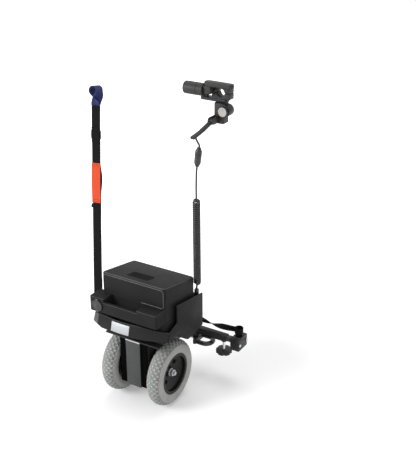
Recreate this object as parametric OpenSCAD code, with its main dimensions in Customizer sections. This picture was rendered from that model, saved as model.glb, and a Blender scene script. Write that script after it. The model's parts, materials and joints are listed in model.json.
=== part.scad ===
// Power assist for an attendant-pushed wheelchair.
// A two-wheel battery drive unit hangs on a bar clamped between the chair's rear frame tubes.
// A hand control clamps to the right push handle, and a webbing strap lifts the unit from the left one.

/* [Wheels] */
// Outside diameter of the tyres
tyre_d = 205; // [196:1:212]
// Width of the tyres
tyre_w = 50; // [46:1:53]
// Distance between the two wheel planes
track = 162; // [160:1:180]
// Diameter of the rim where the tyre sits
rim_d = 116; // [108:1:122]
// Diameter of the axle
axle_d = 17; // [15:0.5:18]

/* [Drive] */
// Teeth of the first large gear
first_teeth = 48; // [44:4:48]
// Teeth of the output gear on the axle
output_teeth = 54; // [50:2:54]
// Tooth module of the first stage
first_module = 1; // [0.9:0.05:1]
// Tooth module of the second stage
second_module = 1.25; // [1.1:0.05:1.25]
// Outside diameter of the motor
motor_d = 62; // [54:1:64]
// Width of the upright rear guard
guard_w = 50; // [40:1:60]
// Room between the tyres and the deck above them
tyre_room = 17; // [12:1:24]

/* [Battery tray] */
// Room between the battery and the tray's side walls
tray_room = 10; // [6:1:16]
// How far the bowed rear lip reaches behind the axle
tray_rear = 96; // [94:1:104]
// Wall thickness of the tray
tray_wall = 4; // [3:0.5:5]
// Height of the rear lip
lip_h = 38; // [30:1:42]
// Height of the side walls at their rear end, over the tray floor
cheek_h = 95; // [84:1:100]

/* [Battery] */
// Width of the battery case
battery_w = 208; // [202:1:216]
// Length of the battery case, without its handle ledge
battery_l = 158; // [158:1:162]
// Height of the battery case at the back
battery_h = 160; // [146:1:180]
// Drop of the top of the battery case towards the front
battery_fall = 30; // [16:1:36]
// Wall thickness of the battery case
battery_wall = 3; // [2:0.25:3]

/* [Crossbar] */
// Distance between the middles of the two frame tubes
frame_w = 424; // [400:2:460]
// Diameter of the frame tubes and of the push handle tube
frame_tube_d = 22.2; // [19:0.1:25.4]
// Height of the bar over the floor
bar_z = 150; // [146:1:156]
// Distance of the bar in front of the drive axle
bar_y = 187; // [184:1:196]
// Outside size of the square outer bar
bar_size = 20; // [19:0.5:24]
// Wall thickness of the outer bar
bar_wall = 2; // [1.5:0.25:2.5]
// Diameter of the hitch pin
pin_d = 12; // [10:0.5:13]

/* [Hand control] */
// Height of the push handle tube over the floor
handle_z = 960; // [930:5:1000]
// Sideways place of the push handle tube
handle_x = 220; // [210:1:230]
// Length of the drive lever from its pivot to its tip
lever_l = 92; // [70:1:100]
// Diameter of the speed dial
dial_d = 28; // [22:1:32]
// Diameter of the control barrel
barrel_d = 36; // [30:1:38]

/* [Strap and cord] */
// Width of the webbing
web_w = 30; // [25:1:32]
// Thickness of the webbing
web_t = 1.6; // [1.2:0.1:2]
// Diameter of the control cord
cord_d = 5.6; // [4.5:0.1:6]
// Outside diameter of the curly stretch
curl_d = 23; // [20:0.5:24]
// Number of curls
curls = 42; // [24:1:44]

/* [Hidden] */
$fn = 64;

// Clearances shared by all pieces
overrun = 1;
press_gap = 0.02;
run_gap = 0.05;
body_gap = 0.3;
loose_gap = 0.6;

// Wheels
axle_z = tyre_d / 2;
axle_r = axle_d / 2;
rim_r = rim_d / 2;
rim_w = 40;
flange_t = 3;
flange_h = 6;
barrel_wall = 3;
web_plate_t = 4;
hub_r = 16;
hub_in = 20;
hub_out = 3;
web_hub_z = -8;
web_rim_z = 5;
lug_count = 4;
lug_ring_r = 33;
lug_r = 7;
lug_z = 4;
lug_hole_r = 3.1;
lug_bolt_r = 3;
lug_head_r = 5.5;
lug_head_h = 4;
tyre_wall = 6;
tyre_mid_r = tyre_d / 2 - tyre_w / 2;
bead_w = rim_w - 2 * flange_t - 2 * body_gap;
groove_turns = [-44, -22, 0, 22, 44];
groove_w = 2.4;
groove_depth = 2;
axle_end_r = 6;
axle_end_l = 17;
shoulder_r = 11;
washer_r = 12;
washer_t = 2.5;
nut_r = 11;
nut_t = 9;

// Chassis
plate_room = 35;
plate_in = track / 2 - plate_room;
plate_t = 4;
plate_back = -64;
plate_front = 45;
bearing_r = 17.5;
bearing_w = 10;
bearing_ring_r = 23;
deck_z = tyre_d + tyre_room;
deck_t = 4;
deck_inset = 23;
deck_w = battery_w + 2 * (tray_room + tray_wall - deck_inset);
deck_back = 72;
deck_front = 92;
rail_size = 20;
rail_wall = 2;
rail_ys = [-40, 60];
tray_z = deck_z + deck_t + rail_size;

// Rear guard
guard_t = 3;
guard_y = -70;
guard_drop = 37;
guard_bottom = axle_z - guard_drop;
guard_return = 14;
rear_web_t = 3;
guard_flange = 40;

// Gear train, in a vertical line over the axle
pinion_teeth = 12;
pressure_angle = 20;
addendum_share = 0.75;
dedendum_share = 1;
tooth_slack = 0.16;
flank_steps = 3;
first_reach = first_module * (pinion_teeth + first_teeth) / 2;
second_reach = second_module * (pinion_teeth + output_teeth) / 2;
idler_z = axle_z + second_reach;
motor_z = idler_z + first_reach;
case_share = 0.348;
case_w = case_share * 2 * plate_in;
case_in = plate_in;
case_split = case_in - case_w / 2;
case_out = case_in - case_w;
case_wall = 3;
gear_room = 2;
output_tip_r = second_module * (output_teeth / 2 + addendum_share);
case_r = output_tip_r + gear_room + case_wall;
motor_r = motor_d / 2;
case_top_r = motor_r + overrun;
output_shares = [0.077, 0.423];
idler_pinion_shares = [0.038, 0.481];
idler_wheel_shares = [0.577, 0.885];
motor_pinion_shares = [0.538, 0.923];
output_span = case_span(output_shares);
idler_pinion_span = case_span(idler_pinion_shares);
idler_wheel_span = case_span(idler_wheel_shares);
motor_pinion_span = case_span(motor_pinion_shares);
idler_shaft_r = 4;
ear_r = 6;
screw_r = 2.5;
screw_head_r = 4.25;
screw_head_h = 5;
ear_out = 5;
motor_ear_y = motor_r + ear_out;
axle_ear_y = case_r + ear_out;

// Motor
motor_wall = 4;
motor_room = 8;
motor_end = plate_in - motor_room;
motor_face_t = 3;
shaft_r = 4;
shaft_over = 3.5;
shaft_end = motor_end + shaft_over;
motor_l = motor_end + case_out;
armature_r = 24;
armature_share = 0.154;
armature_start = -case_out + armature_share * motor_l;
commutator_r = 12;
commutator_room = 3;
commutator_share = 0.115;
commutator_end = motor_end - commutator_room;
armature_end = commutator_end - commutator_share * motor_l;
cap_t = 4;
cap_boss_r = 10;
cap_boss_t = 3.5;
spigot_l = 2;

// Hitch
pin_r = pin_d / 2;
pin_under = 32;
pin_z = bar_z - pin_under;
nose_r = 12;
tongue_w = 16;
tongue_plate_t = 4;
tongue_back = 48;
tongue_plate_front = 90;
tongue_depth = 52;
tongue_back_z = deck_z - tongue_depth;
tongue_top_t = 6;
tongue_top_w = 60;
tongue_knee = 29;
tongue_heel = 47;
side_play = 1.5;
cheek_t = 5;
cheek_in = tongue_w / 2 + side_play;
cheek_edge = 4;
cheek_half = bar_size / 2 + cheek_edge;
guide_x = 56;
front_plate_t = 4;
post_r = 4;
post_x = 62;
post_over = 3;
tether_over = 40;
tether_z = bar_z + tether_over;
tether_w = 18;
post_top = tether_z + tether_w / 2 + post_over;
collar_gap = 1;
collar_x = cheek_in + cheek_t + collar_gap;
collar_t = 3.5;
collar_r = 9;
pin_end = 71;
spring_turns = 5;
spring_wire_r = 0.8;
spring_r = 8;
head_gap = 2;
head_x = guide_x + cheek_t + head_gap;
head_t = 10;
head_h = 18;
loop_tube_r = 7.5;
loop_r = 22;
loop_leg = 22;

// Crossbar and clamps
bar_inner = bar_size - 2 * bar_wall;
arm_size = bar_inner - 2 * body_gap;
arm_wall = 2;
arm_inner = arm_size - 2 * arm_wall;
bar_short = 40;
arm_lap = 102;
knob_back = 12;
bar_end = frame_w / 2 - bar_short;
arm_start = bar_end - arm_lap;
clamp_r = frame_tube_d / 2;
clamp_wall = 6;
clamp_seat = 5;
clamp_cap_wall = 3;
clamp_outer = clamp_r + clamp_wall;
clamp_back = clamp_r + clamp_seat;
clamp_front = clamp_r + clamp_cap_wall;
clamp_half_w = 26;
clamp_h = 40;
clamp_split = 0.5;
clamp_screw_y = 20.5;
clamp_screw_r = 2.5;
clamp_head_r = 4.25;
clamp_head_h = 3.5;
plug_l = 25;
knob_x = bar_end - knob_back;
knob_r = 25;
knob_under = 55;
knob_bottom = bar_z - knob_under;
knob_h = 12.5;
knob_lobes = 6;
knob_scallop_r = 8;
knob_scallop_at = 30.5;
stem_r = 4;
boss_r = 9;
boss_h = 4;

// Battery, and the tray front that follows it
battery_back = -51;
battery_front = battery_back + battery_l;
contact_gap = 0.4;
contact_l = 2.6;
controller_l = 16;
tray_front = battery_front + contact_gap + contact_l + controller_l + tray_wall;
battery_z = tray_z + tray_wall + body_gap;
battery_top = battery_z + battery_h;
base_h = 49;
battery_split = battery_z + base_h;
battery_half = battery_w / 2;
battery_edge_r = 10;
battery_bevel = 6;
ledge_back = -93;
ledge_over = 22;
ledge_short = 2;
ledge_left = -battery_half - ledge_over;
ledge_right = battery_half - ledge_short;
ledge_h = 34;
ledge_r = 6;
cheek_block_right = -80;
cheek_block_h = 46;
platform_left = 32;
platform_h = 42;
rail_t = 11;
label_w = 73;
label_l = 40;
label_depth = 0.6;
label_x = -8;
cell_side_room = 4;
cell_end_room = 2;
cell_w = battery_half - battery_wall - cell_side_room;
cell_l = battery_l - 2 * (battery_wall + cell_end_room);
cell_h = 95;
terminal_r = 5;
terminal_h = 5;
port_x = -103;
port_r = 8;
port_depth = 12;
port_drop = 25;
port_z = battery_split + cheek_block_h - port_drop;
charge_cap_r = 18;
charge_cap_t = 4;
charge_pin_r = 1.1;
charge_knuckle_w = 9;
charge_ear_w = 3;
charge_y = ledge_back - body_gap - charge_cap_t / 2;
charge_z = port_z + charge_cap_r + charge_cap_t / 2;

// Battery tray
tray_half = battery_w / 2 + tray_room + tray_wall;
tray_w = 2 * tray_half;
bow_x = -27;
bow_rise = 37;
corner_r = 6;
bow_r = (pow(tray_half - bow_x, 2) + pow(bow_rise, 2)) / (2 * bow_rise);
bow_y = bow_r - tray_rear;
lip_lean = 10;
floor_inset = 2.5;
corner_steps = 6;
bow_steps = 24;
cheek_back = -9;
cheek_fall = 21;
cheek_round = 3;
cheek_heel = 6;
cheek_drop = 20;
cheek_low_ys = [45, 84];
cheek_nose = 10;
front_wall_h = 56;
plate_w = 62;
plate_h_share = 0.74;
plate_gap = 0.1;
plate_steps = 12;
plate_thick = 1;

// Controller at the front of the tray, and the cord's socket
controller_room = 7;
controller_w = tray_w - 2 * tray_wall - 2 * controller_room;
controller_r = 4;
controller_h = 66;
socket_inset = 14;
socket_x = tray_half - socket_inset;
socket_y = tray_front - tray_wall - controller_l / 2;
socket_r = 7;
socket_h = 18;
contact_w = 60;
contact_h = 14;

// Strap anchor on the tray's left lip
anchor_t = 3;
anchor_w = 24;
anchor_rod_r = 3;
anchor_y = -27;
anchor_reach = 32;
anchor_rise = 3;
anchor_over = 8;
anchor_stop_r = 5;
anchor_stop_t = 2;
strap_bottom = [-tray_half - anchor_reach, anchor_y, tray_z + lip_h + anchor_rise];
strap_hang = [21, 75, -95];
strap_top = [-handle_x, 0, handle_z] + strap_hang;
strap_run = strap_top - strap_bottom;
strap_l = norm(strap_run);
strap_pitch = -asin(strap_run[1] / strap_l);
strap_yaw = atan2(strap_run[0], strap_run[2]);
doubled_l = 76;
red_below = 285;
red_start = strap_l - red_below;
red_l = 116;
red_t = 2.6;
slider_below = 99;
slider_at = strap_l - slider_below;
slider_w = 34;
slider_h = 24;
slider_t = 8;
loop_wall = 3;
loop_neck = 38;

// Hand control
handle_clamp_y = 52;
handle_clamp_l = 24;
bracket_t = 9;
bracket_span = [-62, 16];
bracket_left = handle_x + bracket_span[0];
bracket_right = handle_x + bracket_span[1];
barrel_span = [-98, -40];
barrel_left = handle_x + barrel_span[0];
barrel_right = handle_x + barrel_span[1];
barrel_y = 40;
barrel_rise = 6;
barrel_bevel = 4;
strut_l = 22;
strut_t = 12;
neck_w = 18;
neck_t = 20;
paddle_side = -27;
paddle_x = handle_x + paddle_side;
paddle_hub_r = 12;
paddle_tip_r = 10;
paddle_l = 62;
paddle_gap = 1;
paddle_z = handle_z + clamp_front + clamp_head_h + paddle_gap;
paddle_t = 12;
paddle_pin_r = 4;
paddle_pin_h = 9;
housing_span = [-16, 14];
housing_left = handle_x + housing_span[0];
housing_right = handle_x + housing_span[1];
housing_back = 44;
housing_front = 74;
housing_h = 54;
housing_z = handle_z - clamp_back - bracket_t - housing_h;
housing_edge_r = 6;
dial_side = 15;
dial_under = 44;
dial_rim = 2;
dial_x = handle_x + dial_side;
dial_z = handle_z - dial_under;
dial_boss_r = dial_d / 2 + dial_rim;
dial_boss_front = 70;
dial_t = 9;
dial_shaft_r = 3;
dial_shaft_l = 12;
dial_ribs = 12;
dial_rib_r = 1.5;
lever_y = 22;
lever_under = 67;
lever_z = handle_z - lever_under;
lever_ear_t = 4;
lever_ear_r = 9;
lever_hub_r = 7;
lever_hub_w = 7.2;
lever_pin_r = 3;
lever_blade_w = 13;
lever_blade_t = 7;
lever_tip_r = 6;
lever_drop = 19;
lever_blade_start = 14;

// Cord, in the order that it runs from the hand control to the drive unit
handle_spot = [handle_x, 0, handle_z];
gland_start = handle_spot + [-15, 62, -70];
gland_end = handle_spot + [-35, 14, -93];
gland_r = 6.5;
gland_lip = 1.2;
cord_r = cord_d / 2;
gland_tip_r = cord_r + gland_lip;
lead_bends = [[-38, 8, -96.5], [-41.5, 3, -103], [-44, 3, -113], [-43.5, 10, -125]];
lead_lap = 4;
plug_start = handle_spot + [-45, 20, -145];
plug_end = handle_spot + [-55, 26, -199];
plug_r = 9.5;
plug_neck_r = 6;
plug_neck_l = 10;
plug_seam = 26;
coil_lead_bends = [[-55, 26, -199], [-56, 26.6, -204.4], [-59, 29, -220], [-64, 36, -245], [-70, 45, -272],
    [-74.5, 52.5, -299]];
coil_top = handle_spot + [-76, 55, -308];
socket_top = tray_z + tray_wall + controller_h + socket_h;
coil_bottom = [socket_x, socket_y, socket_top] + [2, 1, 16];
curl_r = curl_d / 2 - cord_r;
curl_rings = 8;
curl_sides = 6;
lead_sides = 8;
ramp_turns = 1;

// Vectors and swept tubes
function unit(v) = v / norm(v);
function case_span(shares) = [for (part = shares) case_wall + part * (case_w - 2 * case_wall)];
function heading(path, i) = unit(path[min(i + 1, len(path) - 1)] - path[max(i - 1, 0)]);
function square_to(t, v) = unit(v - (v * t) * t);
function ring_sides(path, first) = [
    for (i = 0, s = square_to(heading(path, 0), first); i < len(path);
         i = i + 1, s = i < len(path) ? square_to(heading(path, i), s) : s) s
];
function smooth(a) = a * a * (3 - 2 * a);
function curl_path(start, finish, radius, turns, rings, ramp) =
    let (w = unit(finish - start), u = square_to(w, [0, 1, 0]), v = cross(w, u))
    [for (j = [0 : turns * rings])
        let (s = j / rings, fade = ramp > 0 ? smooth(min(1, s / ramp, (turns - s) / ramp)) : 1)
        start + (finish - start) * s / turns + radius * fade * (cos(360 * s) * u + sin(360 * s) * v)];
function least_gap(path, skip, wire) =
    min([for (i = [0 : len(path) - 1], j = [i + skip : len(path) - 1]) norm(path[i] - path[j])]) - wire;

// Closed solid over a row of rings, each with the same number of points
module skin(rings) {
    sides = len(rings[0]);
    count = len(rings);
    walls = [for (i = [0 : count - 2], k = [0 : sides - 1], half = [0, 1])
        let (a = i * sides + k, b = i * sides + (k + 1) % sides)
        half == 0 ? [a, a + sides, b + sides] : [a, b + sides, b]];
    near = [for (k = [1 : sides - 2]) [0, k, k + 1]];
    last = (count - 1) * sides;
    far = [for (k = [1 : sides - 2]) [last, last + k + 1, last + k]];
    polyhedron(points = [for (ring = rings, p = ring) p], faces = concat(walls, near, far));
}
module tube(path, radius, sides) {
    seats = ring_sides(path, [1, 0, 0]);
    skin([for (i = [0 : len(path) - 1])
        let (u = seats[i], v = cross(heading(path, i), u))
        [for (k = [0 : sides - 1])
            path[i] + radius * (cos(360 * k / sides) * u + sin(360 * k / sides) * v)]]);
}

// Placing and profile helpers
module in_row() { translate([frame_w / 2, -bar_y, -bar_z]) children(); }
module along_x(from, to) {
    translate([from, 0, 0]) rotate([90, 0, 90]) linear_extrude(to - from) children();
}
module along_y(from, to) {
    translate([0, to, 0]) rotate([90, 0, 0]) linear_extrude(to - from) children();
}
module up_z(from, to) { translate([0, 0, from]) linear_extrude(to - from) children(); }
module box(low, high) { translate(low) cube(high - low); }
module between(from, to) {
    run = to - from;
    translate(from) rotate([0, acos(run[2] / norm(run)), atan2(run[1], run[0])]) children();
}
module on_wheel(side) { translate([side * track / 2, 0, axle_z]) rotate([0, side * 90, 0]) children(); }
module at_axle() { translate([0, axle_z]) children(); }
module at_idler() { translate([0, idler_z]) children(); }
module at_motor() { translate([0, motor_z]) children(); }
module rounded(low, high, r) {
    for (x = [low[0] + r, high[0] - r], y = [low[1] + r, high[1] - r]) translate([x, y]) circle(r);
    translate([low[0] + r, low[1]]) square([high[0] - low[0] - 2 * r, high[1] - low[1]]);
    translate([low[0], low[1] + r]) square([high[0] - low[0], high[1] - low[1] - 2 * r]);
}
module hollow_square(size, wall) {
    difference() {
        square(size, center = true);
        square(size - 2 * wall, center = true);
    }
}

// Involute spur gear outline with its first tooth pointing up
function involute_turn(base, r) = let (a = acos(min(1, base / r))) tan(a) * 180 / PI - a;
function gear_points(teeth, size) =
    let (pitch_r = size * teeth / 2, base = pitch_r * cos(pressure_angle),
         tip = pitch_r + size * addendum_share, root = pitch_r - size * dedendum_share,
         half = (90 / teeth) - tooth_slack / pitch_r * 90 / PI + involute_turn(base, pitch_r),
         low = max(base, root))
    [for (n = [0 : teeth - 1], side = [-1, 1], k = [0 : flank_steps + 1])
        let (step = side < 0 ? k : flank_steps + 1 - k,
             r = step == 0 ? root : low + (tip - low) * (step - 1) / flank_steps,
             turn = step == 0 ? half : half - involute_turn(base, r),
             a = 90 - 360 * n / teeth - side * turn)
        r * [cos(a), sin(a)]];
module gear_outline(teeth, size) { polygon(gear_points(teeth, size)); }

// Wheels and axle
module rim_profile() {
    translate([rim_r - barrel_wall, -rim_w / 2]) square([barrel_wall, rim_w]);
    for (z = [-rim_w / 2, rim_w / 2 - flange_t])
        translate([rim_r - barrel_wall, z]) square([barrel_wall + flange_h, flange_t]);
    polygon([[hub_r - web_plate_t, web_hub_z], [rim_r - barrel_wall / 2, web_rim_z],
        [rim_r - barrel_wall / 2, web_rim_z + web_plate_t], [hub_r - web_plate_t, web_hub_z + web_plate_t]]);
    translate([axle_r + press_gap, -hub_in]) square([hub_r - axle_r - press_gap, hub_in + hub_out]);
}
module at_lugs() {
    for (n = [0 : lug_count - 1]) rotate(360 * (n + 0.5) / lug_count)
        translate([lug_ring_r, 0, 0]) children();
}
module rim(side) {
    on_wheel(side) difference() {
        union() {
            rotate_extrude() rim_profile();
            at_lugs() up_z(web_hub_z, lug_z) circle(lug_r);
        }
        at_lugs() up_z(web_hub_z - overrun, lug_z + overrun) circle(lug_hole_r);
    }
}
module tyre_profile() {
    difference() {
        union() {
            translate([tyre_mid_r, 0]) circle(tyre_w / 2);
            translate([rim_r, -bead_w / 2]) square([tyre_mid_r - rim_r, bead_w]);
        }
        translate([tyre_mid_r, 0]) circle(tyre_w / 2 - tyre_wall);
        translate([0, -tyre_w]) square([rim_r + press_gap, 2 * tyre_w]);
        for (side = [0, 1]) mirror([0, side])
            translate([0, bead_w / 2]) square([rim_r + flange_h + body_gap, tyre_w]);
        for (a = groove_turns) translate([tyre_mid_r, 0]) rotate(a)
            translate([tyre_w / 2, 0]) square([2 * groove_depth, groove_w], center = true);
    }
}
module tyre(side) { on_wheel(side) rotate_extrude($fn = 128) tyre_profile(); }
module left_rim() { color("#141414") rim(-1); }
module right_rim() { color("#141414") rim(1); }
module left_tyre() { color("#a8a7a2") tyre(-1); }
module right_tyre() { color("#a8a7a2") tyre(1); }
module axle() {
    hub_face = track / 2 + hub_out;
    color("silver") translate([0, 0, axle_z]) {
        along_x(-hub_face, hub_face) circle(axle_r);
        along_x(-hub_face - axle_end_l, hub_face + axle_end_l) circle(axle_end_r);
        for (side = [0, 1]) mirror([side, 0, 0])
            along_x(plate_in + bearing_w + body_gap, track / 2 - hub_in) circle(shoulder_r);
    }
}
module wheel_nuts() {
    color("gainsboro") for (side = [-1, 1]) on_wheel(side) {
        up_z(hub_out, hub_out + washer_t) difference() {
            circle(washer_r);
            circle(axle_end_r + press_gap);
        }
        up_z(hub_out + washer_t, hub_out + washer_t + nut_t) difference() {
            circle(nut_r, $fn = 6);
            circle(axle_end_r + press_gap);
        }
        at_lugs() {
            up_z(lug_z, lug_z + lug_head_h) circle(lug_head_r, $fn = 6);
            up_z(web_hub_z, lug_z + overrun) circle(lug_bolt_r);
        }
    }
}
module axle_bearings() {
    color("lightgray") for (side = [0, 1]) mirror([side, 0, 0]) translate([0, 0, axle_z])
        along_x(plate_in, plate_in + bearing_w) difference() {
            circle(bearing_r);
            circle(axle_r + run_gap);
        }
}

// Gear train and motor
module output_gear() {
    color("darkgray") translate([0, 0, axle_z])
        along_x(output_span[0] - case_in, output_span[1] - case_in) difference() {
            gear_outline(output_teeth, second_module);
            circle(axle_r + press_gap);
        }
}
module idler_gear() {
    half_pitch = 180 / pinion_teeth;
    color("darkgray") translate([0, 0, idler_z]) {
        along_x(idler_pinion_span[0] - case_in, idler_pinion_span[1] - case_in) rotate(half_pitch)
            gear_outline(pinion_teeth, second_module);
        along_x(idler_wheel_span[0] - case_in, idler_wheel_span[1] - case_in)
            gear_outline(first_teeth, first_module);
        along_x(-case_in + overrun, -case_out - overrun) circle(idler_shaft_r);
    }
}
module motor_rotor() {
    half_pitch = 180 / pinion_teeth;
    color("darkgoldenrod") translate([0, 0, motor_z]) {
        along_x(motor_pinion_span[0] - case_in, motor_pinion_span[1] - case_in) rotate(half_pitch)
            gear_outline(pinion_teeth, first_module);
        along_x(motor_pinion_span[0] - case_in, shaft_end) circle(shaft_r);
        along_x(armature_start, armature_end) circle(armature_r);
        along_x(armature_end, commutator_end) circle(commutator_r);
    }
}
module case_outline(inset) {
    at_axle() circle(case_r - inset);
    translate([-case_top_r + inset, axle_z]) square([2 * (case_top_r - inset), motor_z - axle_z]);
    at_motor() circle(case_top_r - inset);
}
module at_ears() {
    for (side = [-1, 1]) {
        translate([side * axle_ear_y, axle_z]) children();
        translate([side * motor_ear_y, motor_z]) children();
    }
}
module ear_outline() {
    case_outline(0);
    at_ears() circle(ear_r);
}
module gear_case() {
    color("#2a2a2c") difference() {
        along_x(-case_in, -case_split) ear_outline();
        along_x(-case_in + case_wall, -case_split + overrun) case_outline(case_wall);
        along_x(-case_in - overrun, -case_split) at_axle() circle(axle_r + loose_gap);
        along_x(-case_in + overrun - body_gap, -case_split) at_idler() circle(idler_shaft_r + run_gap);
        along_x(-case_in - overrun, -case_split + overrun) at_ears() circle(screw_r + press_gap);
    }
}
module gear_cover() {
    color("#2a2a2c") difference() {
        along_x(-case_split, -case_out) ear_outline();
        along_x(-case_split - overrun, -case_out - case_wall) case_outline(case_wall);
        along_x(-case_split, -case_out + overrun) at_axle() circle(axle_r + loose_gap);
        along_x(-case_split, -case_out - overrun + body_gap) at_idler() circle(idler_shaft_r + run_gap);
        along_x(-case_split, -case_out + overrun) at_motor() circle(shaft_r + loose_gap);
        along_x(-case_split - overrun, -case_out + overrun) at_ears() circle(screw_r + press_gap);
    }
}
module motor_can() {
    color("#1b1b1d") translate([0, 0, motor_z]) difference() {
        along_x(-case_out, motor_end) circle(motor_r);
        along_x(-case_out + motor_face_t, motor_end + overrun) circle(motor_r - motor_wall);
        along_x(-case_out - overrun, motor_end) circle(shaft_r + run_gap);
    }
}
module motor_cap() {
    color("#303032") translate([0, 0, motor_z]) difference() {
        union() {
            along_x(motor_end, motor_end + cap_t) circle(motor_r);
            along_x(motor_end - spigot_l, motor_end) circle(motor_r - motor_wall - press_gap);
            along_x(motor_end + cap_t, motor_end + cap_t + cap_boss_t) circle(cap_boss_r);
        }
        along_x(motor_end - spigot_l - overrun, shaft_end + body_gap) circle(shaft_r + run_gap);
    }
}

// Chassis, guard and drawbar
module side_plate_outline() {
    translate([plate_back, guard_bottom])
        square([plate_front - plate_back, deck_z + deck_t / 2 - guard_bottom]);
}
module chassis() {
    color("#222224") difference() {
        union() {
            box([-deck_w / 2, -deck_back, deck_z], [deck_w / 2, deck_front, deck_z + deck_t]);
            for (y = rail_ys) translate([0, y, tray_z - rail_size / 2])
                along_x(-deck_w / 2, deck_w / 2) hollow_square(rail_size, rail_wall);
            for (side = [0, 1]) mirror([side, 0, 0]) {
                along_x(plate_in, plate_in + plate_t) side_plate_outline();
                along_x(plate_in, plate_in + bearing_w) at_axle() circle(bearing_ring_r);
                box([guard_w / 2 + body_gap, plate_back, guard_bottom],
                    [plate_in + plate_t, plate_back + rear_web_t, deck_z + overrun]);
            }
        }
        for (side = [0, 1]) mirror([side, 0, 0])
            along_x(plate_in - overrun, plate_in + bearing_w + overrun)
                at_axle() circle(bearing_r + press_gap);
    }
}
module rear_guard() {
    front = guard_y + guard_t;
    color("#5c5d60") {
        box([-guard_w / 2, guard_y, guard_bottom], [guard_w / 2, front, deck_z]);
        for (side = [0, 1]) mirror([side, 0, 0])
            box([guard_w / 2 - guard_t, front, guard_bottom], [guard_w / 2, front + guard_return, deck_z]);
        box([-guard_w / 2, front, deck_z - guard_t], [guard_w / 2, guard_y + guard_flange, deck_z]);
    }
}
module drawbar() {
    arm = [[tongue_back, deck_z - tongue_top_t], [tongue_plate_front, deck_z - tongue_top_t],
        [bar_y - tongue_knee, pin_z + nose_r], [bar_y, pin_z + nose_r], [bar_y, pin_z - nose_r],
        [bar_y - tongue_heel, pin_z - nose_r], [tongue_back, tongue_back_z]];
    color("#1e1e20") difference() {
        union() {
            for (side = [0, 1]) mirror([side, 0, 0])
                along_x(tongue_w / 2 - tongue_plate_t, tongue_w / 2) polygon(arm);
            along_x(-tongue_w / 2, tongue_w / 2) translate([bar_y, pin_z]) circle(nose_r);
            box([-tongue_top_w / 2, tongue_back, deck_z - tongue_top_t],
                [tongue_top_w / 2, tongue_plate_front, deck_z]);
        }
        along_x(-tongue_w, tongue_w) translate([bar_y, pin_z]) circle(pin_r + run_gap);
    }
}
module unit_screws() {
    color("silver") {
        along_x(-case_in + case_wall, -case_out) at_ears() circle(screw_r);
        along_x(-case_out, -case_out + screw_head_h) at_ears() circle(screw_head_r);
    }
}

// Hitch bracket, pin and pull loop
module cheek_outline() {
    difference() {
        union() {
            translate([bar_y, pin_z]) circle(cheek_half);
            translate([bar_y - cheek_half, pin_z]) square([2 * cheek_half, bar_z + cheek_half - pin_z]);
        }
        translate([bar_y, bar_z]) square(bar_size + 2 * press_gap, center = true);
        translate([bar_y, pin_z]) circle(pin_r + run_gap);
    }
}
module hitch_bracket() {
    plate_y = bar_y + bar_size / 2 + press_gap;
    color("#232325") {
        for (x = [-cheek_in - cheek_t, cheek_in, guide_x]) along_x(x, x + cheek_t) cheek_outline();
        box([-cheek_in - cheek_t, plate_y, pin_z + nose_r + body_gap],
            [guide_x + cheek_t, plate_y + front_plate_t, bar_z + cheek_half]);
        translate([post_x, bar_y, 0]) up_z(bar_z + bar_size / 2 + press_gap, post_top) circle(post_r);
        box([post_x - post_r, bar_y, bar_z + bar_size / 2 + press_gap],
            [post_x + post_r, plate_y + front_plate_t, bar_z + cheek_half]);
    }
}
module hitch_pin() {
    color("silver") translate([0, bar_y, pin_z]) {
        along_x(-cheek_in - cheek_t, pin_end) circle(pin_r);
        along_x(collar_x, collar_x + collar_t) circle(collar_r);
    }
}
module pin_spring() {
    low = [collar_x + collar_t + spring_wire_r + body_gap, bar_y, pin_z];
    high = [guide_x - spring_wire_r - body_gap, bar_y, pin_z];
    path = curl_path(low, high, spring_r, spring_turns, curl_rings * 2, 0);
    echo(spring_gap = least_gap(path, curl_rings, 2 * spring_wire_r));
    color("gainsboro") tube(path, spring_wire_r, curl_sides);
}
module pull_loop() {
    reach = loop_r + loop_tube_r;
    color("#161616") translate([0, bar_y, pin_z]) difference() {
        union() {
            box([head_x, -reach, -head_h / 2], [head_x + head_t, reach, head_h / 2]);
            for (y = [-loop_r, loop_r]) translate([0, y, 0])
                along_x(head_x + head_t, head_x + head_t + loop_leg) circle(loop_tube_r);
            translate([head_x + head_t + loop_leg, 0, 0]) rotate(-90)
                rotate_extrude(angle = 180) translate([loop_r, 0]) circle(loop_tube_r);
        }
        along_x(head_x - overrun, pin_end + body_gap) circle(pin_r + press_gap);
    }
}

// Crossbar, sliding arm and frame clamps
module bar_tube() {
    color("#1c1c1e") difference() {
        union() {
            translate([0, bar_y, bar_z])
                along_x(-frame_w / 2 + clamp_back, bar_end) hollow_square(bar_size, bar_wall);
            translate([knob_x, bar_y, 0])
                up_z(bar_z - bar_size / 2 - boss_h, bar_z - bar_size / 2 + bar_wall / 2) circle(boss_r);
        }
        translate([knob_x, bar_y, 0])
            up_z(bar_z - bar_size / 2 - boss_h - overrun, bar_z - bar_inner / 2 + overrun)
                circle(stem_r + run_gap);
    }
}
module inner_tube() {
    color("#3a3a3c") translate([0, bar_y, bar_z])
        along_x(arm_start, frame_w / 2 - clamp_back) hollow_square(arm_size, arm_wall);
}
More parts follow.
